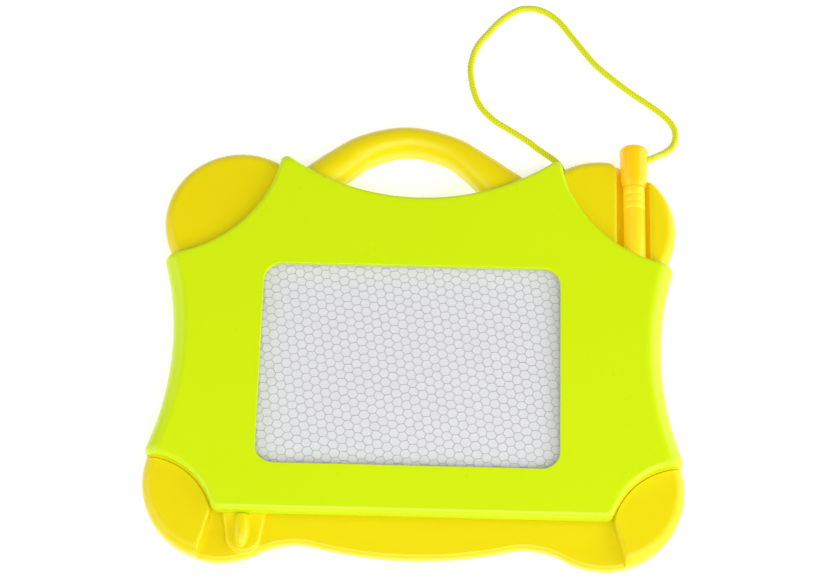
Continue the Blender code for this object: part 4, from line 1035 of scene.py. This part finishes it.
def ledge_corridor(inset, round_radius=0.0, slope=0.0):
    """The space of the ledge, whose sides round the ears' edges that they cut."""
    levels = [(-2 * OVERRUN, 0.0)]
    if round_radius:
        levels.append((LEDGE_HEIGHT, 0.0))
        levels += [(height, slope + drawn) for height, drawn in fillet_levels(EAR_HEIGHT, round_radius)]
    levels.append((COVER_TOP + OVERRUN, slope + round_radius))

    def outline(grow):
        near, far = EAR_STEP_NEAR + inset + grow, EAR_STEP_FAR + inset + grow
        return (
            (-far, -HALF_DEPTH - OVERRUN), (far, -HALF_DEPTH - OVERRUN), (far, -HALF_DEPTH),
            (near, COVER_SOUTH), (near, LEDGE_INNER + OVERRUN), (-near, LEDGE_INNER + OVERRUN),
            (-near, COVER_SOUTH), (-far, -HALF_DEPTH),
        )

    return raised("corridor", levels, outline)


def ledge_outline(inset):
    """South outline: ear, hollow wave, long belly, wave and ear, closed in the north."""
    ear_radius = LOWER_EAR_RADIUS - inset
    belly_radius = LEDGE_BELLY_RADIUS - inset
    belly_y = LEDGE_SOUTH + LEDGE_BELLY_RADIUS
    wave_radius = LEDGE_WAVE_RADIUS + inset
    apart = math.hypot(LOWER_EAR_X, belly_y - LOWER_EAR_Y)
    to_ear = LOWER_EAR_RADIUS + LEDGE_WAVE_RADIUS
    to_belly = LEDGE_BELLY_RADIUS + LEDGE_WAVE_RADIUS
    along = (to_ear ** 2 - to_belly ** 2 + apart ** 2) / (2 * apart)
    half = math.sqrt(to_ear ** 2 - along ** 2)
    step_x, step_y = -LOWER_EAR_X / apart, (belly_y - LOWER_EAR_Y) / apart
    wave_x = LOWER_EAR_X + along * step_x - half * step_y
    wave_y = LOWER_EAR_Y + along * step_y + half * step_x
    ear_turn = math.degrees(math.atan2(wave_y - LOWER_EAR_Y, wave_x - LOWER_EAR_X))
    belly_turn = math.degrees(math.atan2(wave_y - belly_y, wave_x))
    last_turn = -math.degrees(math.acos((EAR_STEP_FAR - LOWER_EAR_X) / ear_radius))
    right = arc(0.0, belly_y, belly_radius, -90.0, belly_turn, EDGE_STEPS)[:-1]
    right += arc(wave_x, wave_y, wave_radius, belly_turn + 180.0, ear_turn + 180.0, EDGE_STEPS)[:-1]
    right += arc(LOWER_EAR_X, LOWER_EAR_Y, ear_radius, ear_turn, last_turn, EDGE_STEPS)
    end_x, end_y = right[-1]
    right += [(end_x + LEDGE_TUCK, end_y + LEDGE_TUCK), (end_x + LEDGE_TUCK, LEDGE_INNER - inset)]
    left = [(-x, y) for x, y in reversed(right[1:])]
    return left + right


def ledge_solid(shape, inset):
    if inset:
        return slab(ledge_outline(inset), -OVERRUN, LEDGE_HEIGHT - inset)
    flat = ledge_outline(0.0)
    rings = []
    for height, drawn in foot_levels(0.0, shape.foot_edge) + fillet_levels(LEDGE_HEIGHT, LEDGE_FILLET):
        rings.append([
            (x, max(y, flat_y), height) if y > LOWER_EAR_Y else (x, y, height)
            for (x, y), (_, flat_y) in zip(ledge_outline(drawn), flat)
        ])
    return layered("ledge", rings)


def north_edge(x):
    """Y of the deck's north edge at a place along X."""
    radius = COVER_NORTH_RADIUS + DECK_GAP
    return COVER_NORTH + COVER_NORTH_RADIUS - math.sqrt(radius ** 2 - x ** 2)


def handle_solid(grow, bottom, foot_edge=0.0):
    """Arched bar with a flat back and a round front; grow makes room around it."""
    top = HALF_DEPTH - HANDLE_WIDTH / 2
    marks = []
    for along, up, wide in HANDLE_SHARES:
        x = HANDLE_CENTRE + along * HANDLE_SPAN
        low = north_edge(HANDLE_CENTRE + math.copysign(HANDLE_SPAN / 2, along)) - HANDLE_ROOT
        marks.append(Vector((x, low + up * (top - low), wide)))
    line = smooth_line(marks, HANDLE_STEPS)
    shoulder = HANDLE_HEIGHT / 2
    rise = HANDLE_HEIGHT + grow - shoulder
    low_levels = foot_levels(bottom, foot_edge)
    rings = []
    for index, mark in enumerate(line):
        ahead = line[min(index + 1, HANDLE_STEPS)] - line[max(index - 1, 0)]
        sideways = Vector((-ahead.y, ahead.x, 0.0)).normalized()
        half = HANDLE_WIDTH * mark.z / 2 + grow
        section = [(drawn - half, height) for height, drawn in low_levels]
        for step in range(HANDLE_ARCH_STEPS + 1):
            turn = math.pi * step / HANDLE_ARCH_STEPS
            section.append((-half * math.cos(turn), shoulder + rise * math.sin(turn)))
        section += [(half - drawn, height) for height, drawn in reversed(low_levels)]
        rings.append([Vector((mark.x, mark.y, height)) + sideways * across for across, height in section])
    return layered("handle", rings)


def handle_hollow():
    """The hollow under the handle, which leaves its two roots closed."""
    centre, reach = COVER_NORTH + COVER_NORTH_RADIUS, COVER_NORTH_RADIUS + DECK_GAP - SHELL_WALL
    hollow = handle_solid(-SHELL_WALL, -OVERRUN)
    return keep(hollow, disc(0.0, centre, reach, -2 * OVERRUN, COVER_TOP, EAR_STEPS))


def pen_run(radius, middle, levels, stations):
    """A U-shaped run along the pen; levels are (height, grow) pairs up its walls.

    stations are (y, left grow, right grow), which round its walls' ends in plan."""
    low = arc(0.0, middle, radius, -180.0, 0.0, TROUGH_STEPS)
    rings = []
    for y, left_grow, right_grow in stations:
        left = [(-radius - grow - left_grow, height) for height, grow in reversed(levels)]
        right = [(radius + grow + right_grow, height) for height, grow in levels]
        round_low = [
            (x * (1.0 + (left_grow if x < 0.0 else right_grow) / radius), height) for x, height in low
        ]
        rings.append([(PEN_X + x, y, z) for x, z in left + round_low + right])
    return layered("pen_run", rings)


def straight(south, north):
    return [(south, 0.0, 0.0), (north, 0.0, 0.0)]


def mouth_stations(south, north, sides):
    """Stations of the trough: straight, then opening out to the ear's rim on each side.

    sides are (corner's round, wall's set out) of the left and the right wall."""
    ends = []
    for side, (round_radius, out) in zip((-1, 1), sides):
        x = PEN_X + side * (TROUGH_RADIUS + out + round_radius) - UPPER_EAR_X
        ends.append((UPPER_EAR_Y + math.sqrt(UPPER_EAR_RADIUS ** 2 - x ** 2), round_radius, out))
    marks = {south, north}
    for end, round_radius, _ in ends:
        marks.update(end - round_radius * math.cos(turn) for turn in quarter(FILLET_STEPS))
    stations = []
    for y in sorted(marks):
        grows = []
        for end, round_radius, out in ends:
            rise = max(0.0, min(round_radius, y - end + round_radius))
            grows.append(out + round_radius - math.sqrt(round_radius ** 2 - rise ** 2))
        stations.append((y, *grows))
    return stations


def add_trough(shell, shape):
    """A wide trough in the ear for the cap, and a socket under the cover for the tip."""
    walls = [(COVER_TOP, 0.0)]
    trough = pen_run(
        TROUGH_RADIUS + SHELL_WALL, TROUGH_CENTRE, walls, straight(TROUGH_SOUTH - SHELL_WALL, PEN_END),
    )
    join(shell, keep(trough, rolled_disc(
        UPPER_EAR_X, UPPER_EAR_Y, UPPER_EAR_RADIUS, SHELL_WALL / 2, shape.ear_fillet,
    )))
    socket = pen_run(
        SOCKET_RADIUS + SHELL_WALL, PEN_AXIS_HEIGHT, walls,
        straight(SOCKET_SOUTH - SHELL_WALL, TROUGH_SOUTH),
    )
    join(shell, keep(socket, cover_block("inside", DECK_GAP, 0.0, SOCKET_HEIGHT)))
    edge = shape.trough_edge
    spread = shape.trough_spread
    flare = [(height, drawn * spread) for height, drawn in fillet_levels(EAR_HEIGHT, edge)]
    flare.append((COVER_TOP, edge * spread))
    cut(shell, pen_run(
        TROUGH_RADIUS, TROUGH_CENTRE, flare,
        mouth_stations(TROUGH_SOUTH, PEN_END + OVERRUN, (
            (shape.mouth_left, shape.trough_left), (shape.mouth_right, -shape.trough_right),
        )),
    ))
    cut(shell, pen_run(
        SOCKET_RADIUS, PEN_AXIS_HEIGHT, walls, straight(SOCKET_SOUTH, TROUGH_SOUTH + OVERRUN),
    ))


def cord_tunnel(radius, inward, outward_reach, bottom=None):
    """A cutter along the cord's first run, open downwards if a bottom is given."""
    spot, outward = cord_exit()
    sideways = Vector((-outward.y, outward.x, 0.0))
    if bottom is None:
        section = circle(0.0, CORD_EXIT_HEIGHT, radius, BOSS_STEPS)
    else:
        section = arc(0.0, CORD_EXIT_HEIGHT, radius, 0.0, 180.0, BOSS_STEPS)
        section += [(-radius, bottom), (radius, bottom)]
    rings = []
    for reach in (-inward, outward_reach):
        flat = spot + outward * reach
        rings.append([(flat.x + sideways.x * x, flat.y + sideways.y * x, z) for x, z in section])
    return layered("tunnel", rings)


def rail_boxes():
    """Guide rail and end stops of the eraser bar, standing on the deck."""
    floor = SHELL_WALL / 2
    top = SHELL_WALL + RAIL_HEIGHT
    left = BAR_X - BAR_WIDTH / 2 - SLIDE_CLEARANCE
    right = BAR_X + TRAVEL + BAR_WIDTH / 2 + SLIDE_CLEARANCE
    rail = BAR_NORTH + SLIDE_CLEARANCE
    middle = (BAR_SOUTH + BAR_NORTH) / 2
    return (
        ((left, rail, floor), (right, rail + RAIL_WALL, top)),
        ((left - RAIL_WALL, middle, floor), (left, middle + STOP_LENGTH, top)),
        ((right, middle, floor), (right + RAIL_WALL, middle + STOP_LENGTH, top)),
    )


def screw_passage(x, y):
    """Counterbore for the head, with a broken edge, and a clearance hole."""
    head = SCREW_HEAD_RADIUS + CLEARANCE
    shank = SCREW_RADIUS + CLEARANCE
    step = SCREW_SUNK + SCREW_HEAD_HEIGHT + CLEARANCE
    top = SEAT_HEIGHT + OVERRUN
    broken = CLEARANCE
    profile = (
        (0.0, -OVERRUN), (head + broken, -OVERRUN), (head + broken, 0.0), (head, broken),
        (head, step), (shank, step), (shank, top), (0.0, top),
    )
    return move_mesh(turned("passage", profile, BOSS_STEPS), Matrix.Translation((x, y, 0.0)))


def rear_shell(shape):
    shell = cover_block("moulded_rear_shell", DECK_GAP, 0.0, DECK_RIM_HEIGHT)
    cut(shell, cover_block("tray", DECK_GAP + DECK_RIM_WALL, SHELL_WALL, DECK_RIM_HEIGHT + OVERRUN))
    for spot in ear_places():
        join(shell, ear_island(shape, spot, 0.0))
    join(shell, ledge_solid(shape, 0.0))
    join(shell, handle_solid(0.0, 0.0, shape.foot_edge))
    for spot in ear_places():
        cut(shell, ear_island(shape, spot, SHELL_WALL))
        if spot[0].startswith("lower"):
            cut(shell, ear_seam(shape, spot))
    cut(shell, ledge_solid(shape, SHELL_WALL))
    cut(shell, handle_hollow())
    add_trough(shell, shape)
    for low, high in rail_boxes():
        join(shell, box(low, high))
    for x, y in SCREW_PLACES:
        join(shell, disc(x, y, SEAT_RADIUS, SHELL_WALL / 2, SEAT_HEIGHT, BOSS_STEPS))
        cut(shell, screw_passage(x, y))
    hole = CORD_RADIUS + CORD_HOLE_CLEARANCE
    return cut(shell, cord_tunnel(hole, SHELL_WALL + OVERRUN / 2, OVERRUN))


class BOARD_OT_rear_shell(bpy.types.Operator):
    """Mould the rear shell with its ears, ledge, trough and handle"""
    bl_idname = "board.rear_shell"
    bl_label = "Rear shell"

    def execute(self, context):
        colours = context.scene.board_colours
        # ABS from a polished mould: deep yellow with a soft gloss and a painted glow that lifts its shade
        yellow = colours.shell, colours.shell_shade
        plastic = moulded_plastic("yellow_abs", yellow, 0.30, colours.glow, 0.3)
        shell = rear_shell(context.scene.board_shape)
        even_normals(dress(shell, "board", plastic, ("rear_shell",)))
        return {"FINISHED"}


# Front cover

def window_cutter(edge):
    levels = [(COVER_UNDERSIDE - OVERRUN, 0.0), *fillet_levels(COVER_TOP, edge)]
    return raised("window", [*levels, (COVER_TOP + OVERRUN, edge)], lambda grow: rounded_rectangle(
        WINDOW_WIDTH + 2 * grow, WINDOW_DEPTH + 2 * grow, WINDOW_CORNER_RADIUS + grow,
        WINDOW_OFFSET, WINDOW_Y, WINDOW_CORNER_STEPS,
    ))


def cover_levels(fillet):
    """(height, inset) pairs up the cover's outside, with steps up its rolled sides."""
    rise = COVER_TOP - fillet - COVER_ROLL_START
    levels = [(COVER_ROLL_START + rise * step / FILLET_STEPS, 0.0) for step in range(FILLET_STEPS)]
    return levels + fillet_levels(COVER_TOP, fillet, 2 * FILLET_STEPS)


def front_cover(shape):
    rings = [cover_ring(height, drawn) for height, drawn in foot_levels(COVER_FOOT, shape.foot_edge)]
    rings += [cover_ring(height, 0.0, drawn) for height, drawn in cover_levels(shape.cover_fillet)]
    cover = layered("moulded_front_cover", rings)
    middle = (COVER_ROLL_START + COVER_UNDERSIDE) / 2
    cut(cover, cover_block(
        "inside", COVER_WALL,
        COVER_FOOT - OVERRUN, COVER_FOOT, COVER_ROLL_START, middle, COVER_UNDERSIDE,
    ))
    boss_top = COVER_TOP - COVER_WALL / 2
    pilot_top = SCREW_SUNK + SCREW_HEAD_HEIGHT + SCREW_LENGTH + CLEARANCE
    for x, y in SCREW_PLACES:
        join(cover, disc(x, y, BOSS_RADIUS, SEAT_HEIGHT + CLEARANCE, boss_top, BOSS_STEPS))
        cut(cover, disc(x, y, SCREW_RADIUS + CLEARANCE, 0.0, pilot_top, BOSS_STEPS))
    for name, x, y, radius, _, _, _ in ear_places():
        room = rolled_disc(x, y, radius, -CLEARANCE, shape.ear_fillet)
        if name.startswith("lower"):
            cut(room, ledge_corridor(-CLEARANCE))
        if name == "upper_right":
            arch = arc(0.0, PEN_AXIS_HEIGHT, SOCKET_RADIUS, 0.0, 180.0, TROUGH_STEPS)
            arch += [(-SOCKET_RADIUS, 0.0), (SOCKET_RADIUS, 0.0)]
            ends = (TROUGH_SOUTH, PEN_END)
            join(room, layered("arch", [[(PEN_X + x, y, z) for x, z in arch] for y in ends]))
            join(room, cord_tunnel(CORD_RADIUS + CORD_HOLE_CLEARANCE, OVERRUN, OVERRUN, -OVERRUN))
        cut(cover, room)
    slot_top = TAB_TOP + SLIDE_CLEARANCE
    cut(cover, box((-EAR_STEP_FAR, -HALF_DEPTH, -OVERRUN), (EAR_STEP_FAR, LEDGE_INNER, slot_top)))
    cut(cover, window_cutter(shape.window_edge))
    return cut(cover, handle_solid(CLEARANCE, -OVERRUN))


class BOARD_OT_front_cover(bpy.types.Operator):
    """Mould the lime cover with its leaning sides and window"""
    bl_idname = "board.front_cover"
    bl_label = "Front cover"

    def execute(self, context):
        colours = context.scene.board_colours
        # ABS from a polished mould: fluorescent lime with a soft gloss and a painted glow that lifts its
        # shade
        lime = colours.cover, colours.cover_shade
        plastic = moulded_plastic("lime_abs", lime, 0.28, colours.glow, 0.25)
        cover = front_cover(context.scene.board_shape)
        even_normals(dress(cover, "board", plastic, ("front_cover",)))
        return {"FINISHED"}


# Screen

def cell_sheet(look, low, high):
    """A sheet of six-sided cells, sunk between their walls, closed all round."""
    bm = bmesh.new()
    side = look.cell_pitch / math.sqrt(3)
    middle, half = (low + high) / 2, (high - low) / 2
    reach = int(2 * half.length / look.cell_pitch)
    turn = Matrix.Rotation(look.turn, 4, "Z")
    for row in range(-reach, reach + 1):
        for column in range(-reach, reach + 1):
            step = Vector(((column + (row % 2) / 2) * look.cell_pitch, row * side * 1.5, 0.0))
            spot = turn @ step
            if abs(spot.x) > half.x + side or abs(spot.y) > half.y + side:
                continue
            spot += Vector((middle.x, middle.y, high.z))
            bmesh.ops.create_circle(
                bm, cap_ends=True, segments=6, radius=side,
                matrix=Matrix.Translation(spot) @ turn,
            )
    bmesh.ops.remove_doubles(bm, verts=bm.verts, dist=side / 20)
    chance = random.Random(CELL_SEED)
    for corner in bm.verts:
        corner.co.x = middle.x + (corner.co.x - middle.x) * look.stretch
        corner.co.x += chance.uniform(-look.unevenness, look.unevenness)
        corner.co.y += chance.uniform(-look.unevenness, look.unevenness)
    # Trimmed to the sheet's sides, and across each rounded corner.
    trim = SCREEN_CORNER_RADIUS * (2.0 - math.sqrt(2.0)) / math.sqrt(2.0)
    for way_x, way_y in ((1, 0), (-1, 0), (0, 1), (0, -1), (1, 1), (1, -1), (-1, 1), (-1, -1)):
        back = trim if way_x and way_y else 0.0
        bmesh.ops.bisect_plane(
            bm, geom=bm.verts[:] + bm.edges[:] + bm.faces[:], dist=look.wall / 10, clear_outer=True,
            plane_co=(middle.x + way_x * (half.x - back), middle.y + way_y * half.y, 0.0),
            plane_no=(way_x, way_y, 0.0),
        )
    bmesh.ops.recalc_face_normals(bm, faces=bm.faces)
    if sum(face.normal.z for face in bm.faces) < 0.0:
        bmesh.ops.reverse_faces(bm, faces=bm.faces)
    cells = bm.faces[:]
    bmesh.ops.inset_individual(bm, faces=cells, thickness=look.wall / 2, use_even_offset=True)
    bmesh.ops.inset_individual(
        bm, faces=cells, thickness=look.wall / 4, depth=-look.depth, use_even_offset=True,
    )
    for face in cells:
        face.material_index = 1
    border = [edge for edge in bm.edges if edge.is_boundary]
    skirt = bmesh.ops.extrude_edge_only(bm, edges=border)["geom"]
    for item in skirt:
        if isinstance(item, bmesh.types.BMVert):
            item.co.z = low.z
    bmesh.ops.holes_fill(bm, edges=[edge for edge in bm.edges if edge.is_boundary], sides=0)
    return to_object(bm, "honeycomb_cells")


def cell_liquid(look):
    """Pale magnetic liquid: soft white with a faint cloud from cell to cell."""
    made, tree, shader = new_material("magnetic_liquid", (
        ("Roughness", 0.42), ("IOR", 1.40), ("Specular IOR Level", 0.25),
    ))
    two_tone(tree, shader, (noise(tree, 6.0), "Fac"), (look.liquid, look.liquid_shade))
    return made


class BOARD_OT_screen(bpy.types.Operator):
    """Lay the honeycomb of liquid cells between its two films"""
    bl_idname = "board.screen"
    bl_label = "Screen"

    def execute(self, context):
        look = context.scene.screen_look
        low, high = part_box("honeycomb_core")
        sheet = cell_sheet(look, low, high)
        # Clear vinyl walls of the cells: thin, grey against the liquid
        sheet.data.materials.append(plain_material(
            "cell_walls", look.wall_colour, 0.30, 0.42, 4.0,
            (("IOR", 1.50), ("Specular IOR Level", 0.3)),
        ))
        sheet.data.materials.append(cell_liquid(look))
        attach(sheet, "board")
        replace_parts(sheet, "honeycomb_core")
        # Clear polyester film over the cells: almost unseen, with a faint gloss
        wear("screen_front_film", plain_material(
            "clear_pet_film", linear("FFFFFF"), 0.09, 0.15, 20.0, (("Alpha", 0.05),)))
        # White polyester film behind the cells
        wear("screen_back_film", plain_material("white_pet_film", linear("E9E9E9"), 0.36, 0.44, 15.0))
        # Cloth tape between film and cover: matt and slightly yellow
        wear("screen_tape", plain_material("double_sided_tape", linear("E4DFC8"), 0.62, 0.78, 3.0))
        return {"FINISHED"}


# Eraser and its tab

def tab_outline(inset):
    """Tongue with a blunt round end, wider where it comes out of the slot."""
    half = TAB_WIDTH / 2 - inset
    narrow = half * TAB_TIP_SHARE
    bend = COVER_SOUTH - TAB_REACH + inset + narrow
    back = PEG_Y - PEG_RADIUS - CLEARANCE
    outline = [(TAB_X + half, COVER_SOUTH + CLEARANCE), (TAB_X + half, back)]
    outline += [(TAB_X - half, back), (TAB_X - half, COVER_SOUTH + CLEARANCE)]
    return outline + arc(TAB_X, bend, narrow, -180.0, 0.0, 2 * EDGE_STEPS)


def slider_tab(shape):
    levels = foot_levels(TAB_BOTTOM, shape.foot_edge) + fillet_levels(TAB_TOP, shape.tab_fillet)
    tab = raised("moulded_slider_tab", levels, tab_outline)
    stem = TAB_STEM_WIDTH / 2
    join(tab, box(
        (TAB_X - stem, COVER_SOUTH + LEDGE_LAP / 2, TAB_BOTTOM),
        (TAB_X + stem, BAR_SOUTH - CLEARANCE, TAB_TOP),
    ))
    middle = TAB_TOP - TAB_THICKNESS / 2
    join(tab, disc(TAB_X, PEG_Y, PEG_RADIUS, LUG_TOP - PEG_LENGTH, middle, SCREW_STEPS))
    return join(tab, grip(shape))


def grip(shape):
    """Raised thumb grip: half an egg lying on the tab, cut off square beside the cover."""
    north = COVER_SOUTH - CLEARANCE
    south = COVER_SOUTH - TAB_REACH + GRIP_END_GAP
    half_length = (north - south) * shape.grip_reach
    steps = 2 * FILLET_STEPS
    levels = [(TAB_TOP - TAB_THICKNESS / 2, 1.0)]
    for step in range(steps + 1):
        turn = math.radians(shape.grip_turn * step / steps)
        levels.append((TAB_TOP + GRIP_HEIGHT * math.sin(turn), math.cos(turn)))
    middle, half_width = TAB_X - shape.grip_aside, shape.grip_width / 2
    return raised("grip", levels, lambda share: [
        (middle + x * half_width, min(north, south + half_length * (1.0 + y)))
        for x, y in circle(0.0, 0.0, share, EAR_STEPS)
    ])


class BOARD_OT_eraser(bpy.types.Operator):
    """Mould the slider tab and dress the hidden eraser bar"""
    bl_idname = "board.eraser"
    bl_label = "Eraser"

    def execute(self, context):
        colours = context.scene.board_colours
        # ABS like the shell's, a little glossier where thumbs have polished it, with the same painted
        # glow that lifts its shade
        yellow = colours.shell, colours.shell_shade
        plastic = moulded_plastic("yellow_tab_abs", yellow, 0.28, colours.glow, 0.2)
        tab = slider_tab(context.scene.board_shape)
        even_normals(dress(tab, "eraser", plastic, ("slider_tab",)))
        wear("eraser_carrier", plastic)
        # Flexible rubber magnet: dull near-black strip
        wear("eraser_magnet", plain_material("rubber_magnet", linear("2A2827"), 0.56, 0.68, 2.0))
        return {"FINISHED"}


# Pen

def pen_frame():
    """Turn from the pen's own frame, tip at zero and Z to its end, to its place."""
    return Matrix.Translation((PEN_X, PEN_TIP, PEN_AXIS_HEIGHT)) @ Matrix.Rotation(-math.pi / 2, 4, "X")


def barrel_profile(shape):
    bottom = PEN_NOSE_LENGTH
    top = PEN_LENGTH - PEN_CAP_LENGTH - CLEARANCE
    edge = shape.pen_edge
    outer = PEN_BARREL_RADIUS
    profile = [(PEN_BORE_RADIUS, bottom)]
    profile += arc(outer - edge, bottom + edge, edge, -90.0, 0.0, SMALL_ROUND_STEPS)
    first = top - PEN_GROOVE_START - (PEN_GROOVE_COUNT - 1) * PEN_GROOVE_PITCH
    half, deep = shape.pen_groove_width / 2, shape.pen_groove_depth
    for index in range(PEN_GROOVE_COUNT):
        middle = first + index * PEN_GROOVE_PITCH
        profile += [
            (outer, middle - half - edge / 2), (outer - edge / 4, middle - half),
            (outer - deep, middle - half / 2), (outer - deep, middle + half / 2),
            (outer - edge / 4, middle + half), (outer, middle + half + edge / 2),
        ]
    profile += arc(outer - edge, top - edge, edge, 0.0, 90.0, SMALL_ROUND_STEPS)
    neck = top + PEN_NECK_LENGTH
    return profile + [
        (PEN_NECK_RADIUS, top), (PEN_NECK_RADIUS, neck), (PEN_NECK_BORE_RADIUS, neck),
        (PEN_NECK_BORE_RADIUS, top - PEN_NECK_LENGTH), (PEN_BORE_RADIUS, top - PEN_NECK_LENGTH),
    ]


def cap_profile(shape):
    bottom = PEN_LENGTH - PEN_CAP_LENGTH
    bore = PEN_NECK_RADIUS + CLEARANCE
    low = PEN_BARREL_RADIUS + CLEARANCE / 4
    profile = [(0.0, PEN_LENGTH)]
    for height, drawn in reversed(fillet_levels(PEN_LENGTH, shape.cap_round, 2 * FILLET_STEPS)):
        profile.append((PEN_CAP_RADIUS - drawn, height))
    return profile + [
        (PEN_CAP_LOW_RADIUS + CLEARANCE / 10, bottom + PEN_CAP_CHAMFER + CLEARANCE),
        (PEN_CAP_LOW_RADIUS - CLEARANCE / 10, bottom + PEN_CAP_CHAMFER - CLEARANCE),
        (low, bottom), (bore, bottom),
        (bore, PEN_LENGTH - PEN_CAP_END_WALL), (0.0, PEN_LENGTH - PEN_CAP_END_WALL),
    ]


def nose_profile(shape):
    plug = PEN_BORE_RADIUS - CLEARANCE
    hold = PEN_MAGNET_RADIUS + CLEARANCE
    depth = PEN_MAGNET_LENGTH - PEN_MAGNET_PROUD + CLEARANCE
    end = PEN_NOSE_PLUG_LENGTH + PEN_NOSE_LENGTH
    top = PEN_NOSE_LENGTH - CLEARANCE
    edge = shape.pen_edge
    profile = [(0.0, end), (plug, end), (plug, top)]
    profile += arc(PEN_BARREL_RADIUS - edge, top - edge, edge, 90.0, 0.0, SMALL_ROUND_STEPS)
    return profile + [
        (PEN_BARREL_RADIUS, PEN_NOSE_LENGTH * PEN_NOSE_BEVEL_SHARE), (hold + CLEARANCE, 0.0),
        (hold, 0.0), (hold, depth), (0.0, depth),
    ]


class BOARD_OT_pen(bpy.types.Operator):
    """Turn the magnet pen's barrel, cap and nose"""
    bl_idname = "board.pen"
    bl_label = "Pen"

    def execute(self, context):
        shape, colours = context.scene.board_shape, context.scene.board_colours
        # ABS from a polished mould: warm amber with a clear gloss, with twice the shells' painted glow to
        # lift the trough's shade
        glow = PEN_GLOW_SHARE * colours.glow
        amber = moulded_plastic("amber_abs", (colours.pen, colours.pen_shade), 0.24, glow, 0.15)
        # Painted light: the barrel and nose are painted a little lighter than the cap and glow more, to
        # lift the trough's shade from them
        light = moulded_plastic(
            "light_amber_abs", (colours.barrel, colours.barrel), 0.24, BARREL_GLOW_SHARE * glow, 0.15)
        barrel = turned("turned_barrel", barrel_profile(shape), PEN_STEPS)
        cap = turned("turned_cap", cap_profile(shape), PEN_STEPS)
        nose = turned("turned_nose", nose_profile(shape), PEN_STEPS)
        width = CORD_RADIUS + CORD_HOLE_CLEARANCE
        hole = disc(0.0, 0.0, width, 0.0, PEN_CAP_RADIUS + OVERRUN, BOSS_STEPS)
        up = Matrix.Translation((0.0, 0.0, PEN_LENGTH - PEN_CORD_SET))
        cut(cap, move_mesh(hole, up @ Matrix.Rotation(math.pi / 2, 4, "Y")))
        for piece, node, plastic in (
            (barrel, "pen_barrel", light), (cap, "pen_cap", amber), (nose, "pen_nose", light),
        ):
            dress(move_mesh(piece, pen_frame()), "pen", plastic, (node,), PEN_SHARP)
        # Ferrite tip: dark grey ceramic, slightly grainy
        wear("pen_magnet", plain_material("ferrite", linear("36363A"), 0.37, 0.53, 0.6))
        return {"FINISHED"}


# Screws

def case_screw(name, x, y):
    """Pan-head screw seen from the back, with a cross recess and a turned thread."""
    head = SCREW_SUNK + SCREW_HEAD_HEIGHT
    end = head + SCREW_LENGTH
    dome = SCREW_HEAD_HEIGHT * SCREW_EDGE_SHARE
    profile = [(0.0, SCREW_SUNK)]
    flat = SCREW_HEAD_RADIUS * SCREW_FACE_SHARE
    for turn in quarter(SMALL_ROUND_STEPS):
        profile.append((
            flat + (SCREW_HEAD_RADIUS - flat) * math.sin(turn), SCREW_SUNK + dome * (1 - math.cos(turn)),
        ))
    profile += [(SCREW_HEAD_RADIUS, head), (SCREW_RADIUS, head)]
    pitch = CLEARANCE * 2
    core = SCREW_RADIUS * THREAD_CORE_SHARE
    count = int((SCREW_LENGTH - SCREW_RADIUS - pitch) / pitch)
    for index in range(count):
        low = head + pitch * (index + THREAD_START_SHARE)
        profile += [(core, low), (SCREW_RADIUS, low + pitch / 2)]
    profile += [(core, end - SCREW_RADIUS), (0.0, end)]
    made = turned(name, profile, SCREW_STEPS)
    floor, narrow = SCREW_SUNK + SCREW_SLOT_DEPTH, SCREW_SLOT_WIDTH / 2
    for x_reach, y_reach in ((SCREW_SLOT_REACH, narrow), (narrow, SCREW_SLOT_REACH)):
        cut(made, box((-x_reach, -y_reach, -OVERRUN), (x_reach, y_reach, floor)))
    return move_mesh(made, Matrix.Translation((x, y, 0.0)))


class BOARD_OT_screws(bpy.types.Operator):
    """Drive the six case screws in from the back"""
    bl_idname = "board.screws"
    bl_label = "Case screws"

    def execute(self, context):
        # Zinc-plated steel: light grey metal with fine turning marks in its gloss
        steel = plain_material(
            "zinc_steel", linear("C4C6C8"), 0.24, 0.40, 0.8, (("Metallic", 1.0),), 3.0)
        for index, (x, y) in enumerate(SCREW_PLACES):
            piece = case_screw("zinc_screw_%d" % (index + 1), x, y)
            dress(piece, "board", steel, ("case_screw_%d" % (index + 1),))
        return {"FINISHED"}


# Panel and run

class BOARD_PT_panel(bpy.types.Panel):
    """Buttons and settings of the drawing board"""
    bl_label = "Magnetic Drawing Board"
    bl_idname = "BOARD_PT_panel"
    bl_space_type = "VIEW_3D"
    bl_region_type = "UI"
    bl_category = "Drawing Board"

    def draw(self, context):
        layout = self.layout
        for operator in OPERATORS:
            layout.operator(operator.bl_idname)
        for name, group in SETTINGS:
            box_area = layout.box()
            settings = getattr(context.scene, name)
            for field in group.__annotations__:
                box_area.prop(settings, field)


OPERATORS = (
    BOARD_OT_camera, BOARD_OT_cord, BOARD_OT_rear_shell, BOARD_OT_front_cover, BOARD_OT_screen,
    BOARD_OT_eraser, BOARD_OT_pen, BOARD_OT_screws, BOARD_OT_stage,
)
SETTINGS = (
    ("board_shape", BoardShape), ("board_colours", BoardColours), ("screen_look", ScreenLook),
    ("cord_look", CordLook), ("studio_look", StudioLook),
)


def register():
    for name, group in SETTINGS:
        bpy.utils.register_class(group)
        setattr(bpy.types.Scene, name, bpy.props.PointerProperty(type=group))
    for operator in OPERATORS:
        bpy.utils.register_class(operator)
    bpy.utils.register_class(BOARD_PT_panel)


def unregister():
    bpy.utils.unregister_class(BOARD_PT_panel)
    for operator in reversed(OPERATORS):
        bpy.utils.unregister_class(operator)
    for name, group in reversed(SETTINGS):
        delattr(bpy.types.Scene, name)
        bpy.utils.unregister_class(group)


def main():
    register()
    bpy.ops.board.camera()
    bpy.ops.board.cord()
    bpy.ops.board.rear_shell()
    bpy.ops.board.front_cover()
    bpy.ops.board.screen()
    bpy.ops.board.eraser()
    bpy.ops.board.pen()
    bpy.ops.board.screws()
    bpy.ops.board.stage()


if __name__ == "__main__":
    main()
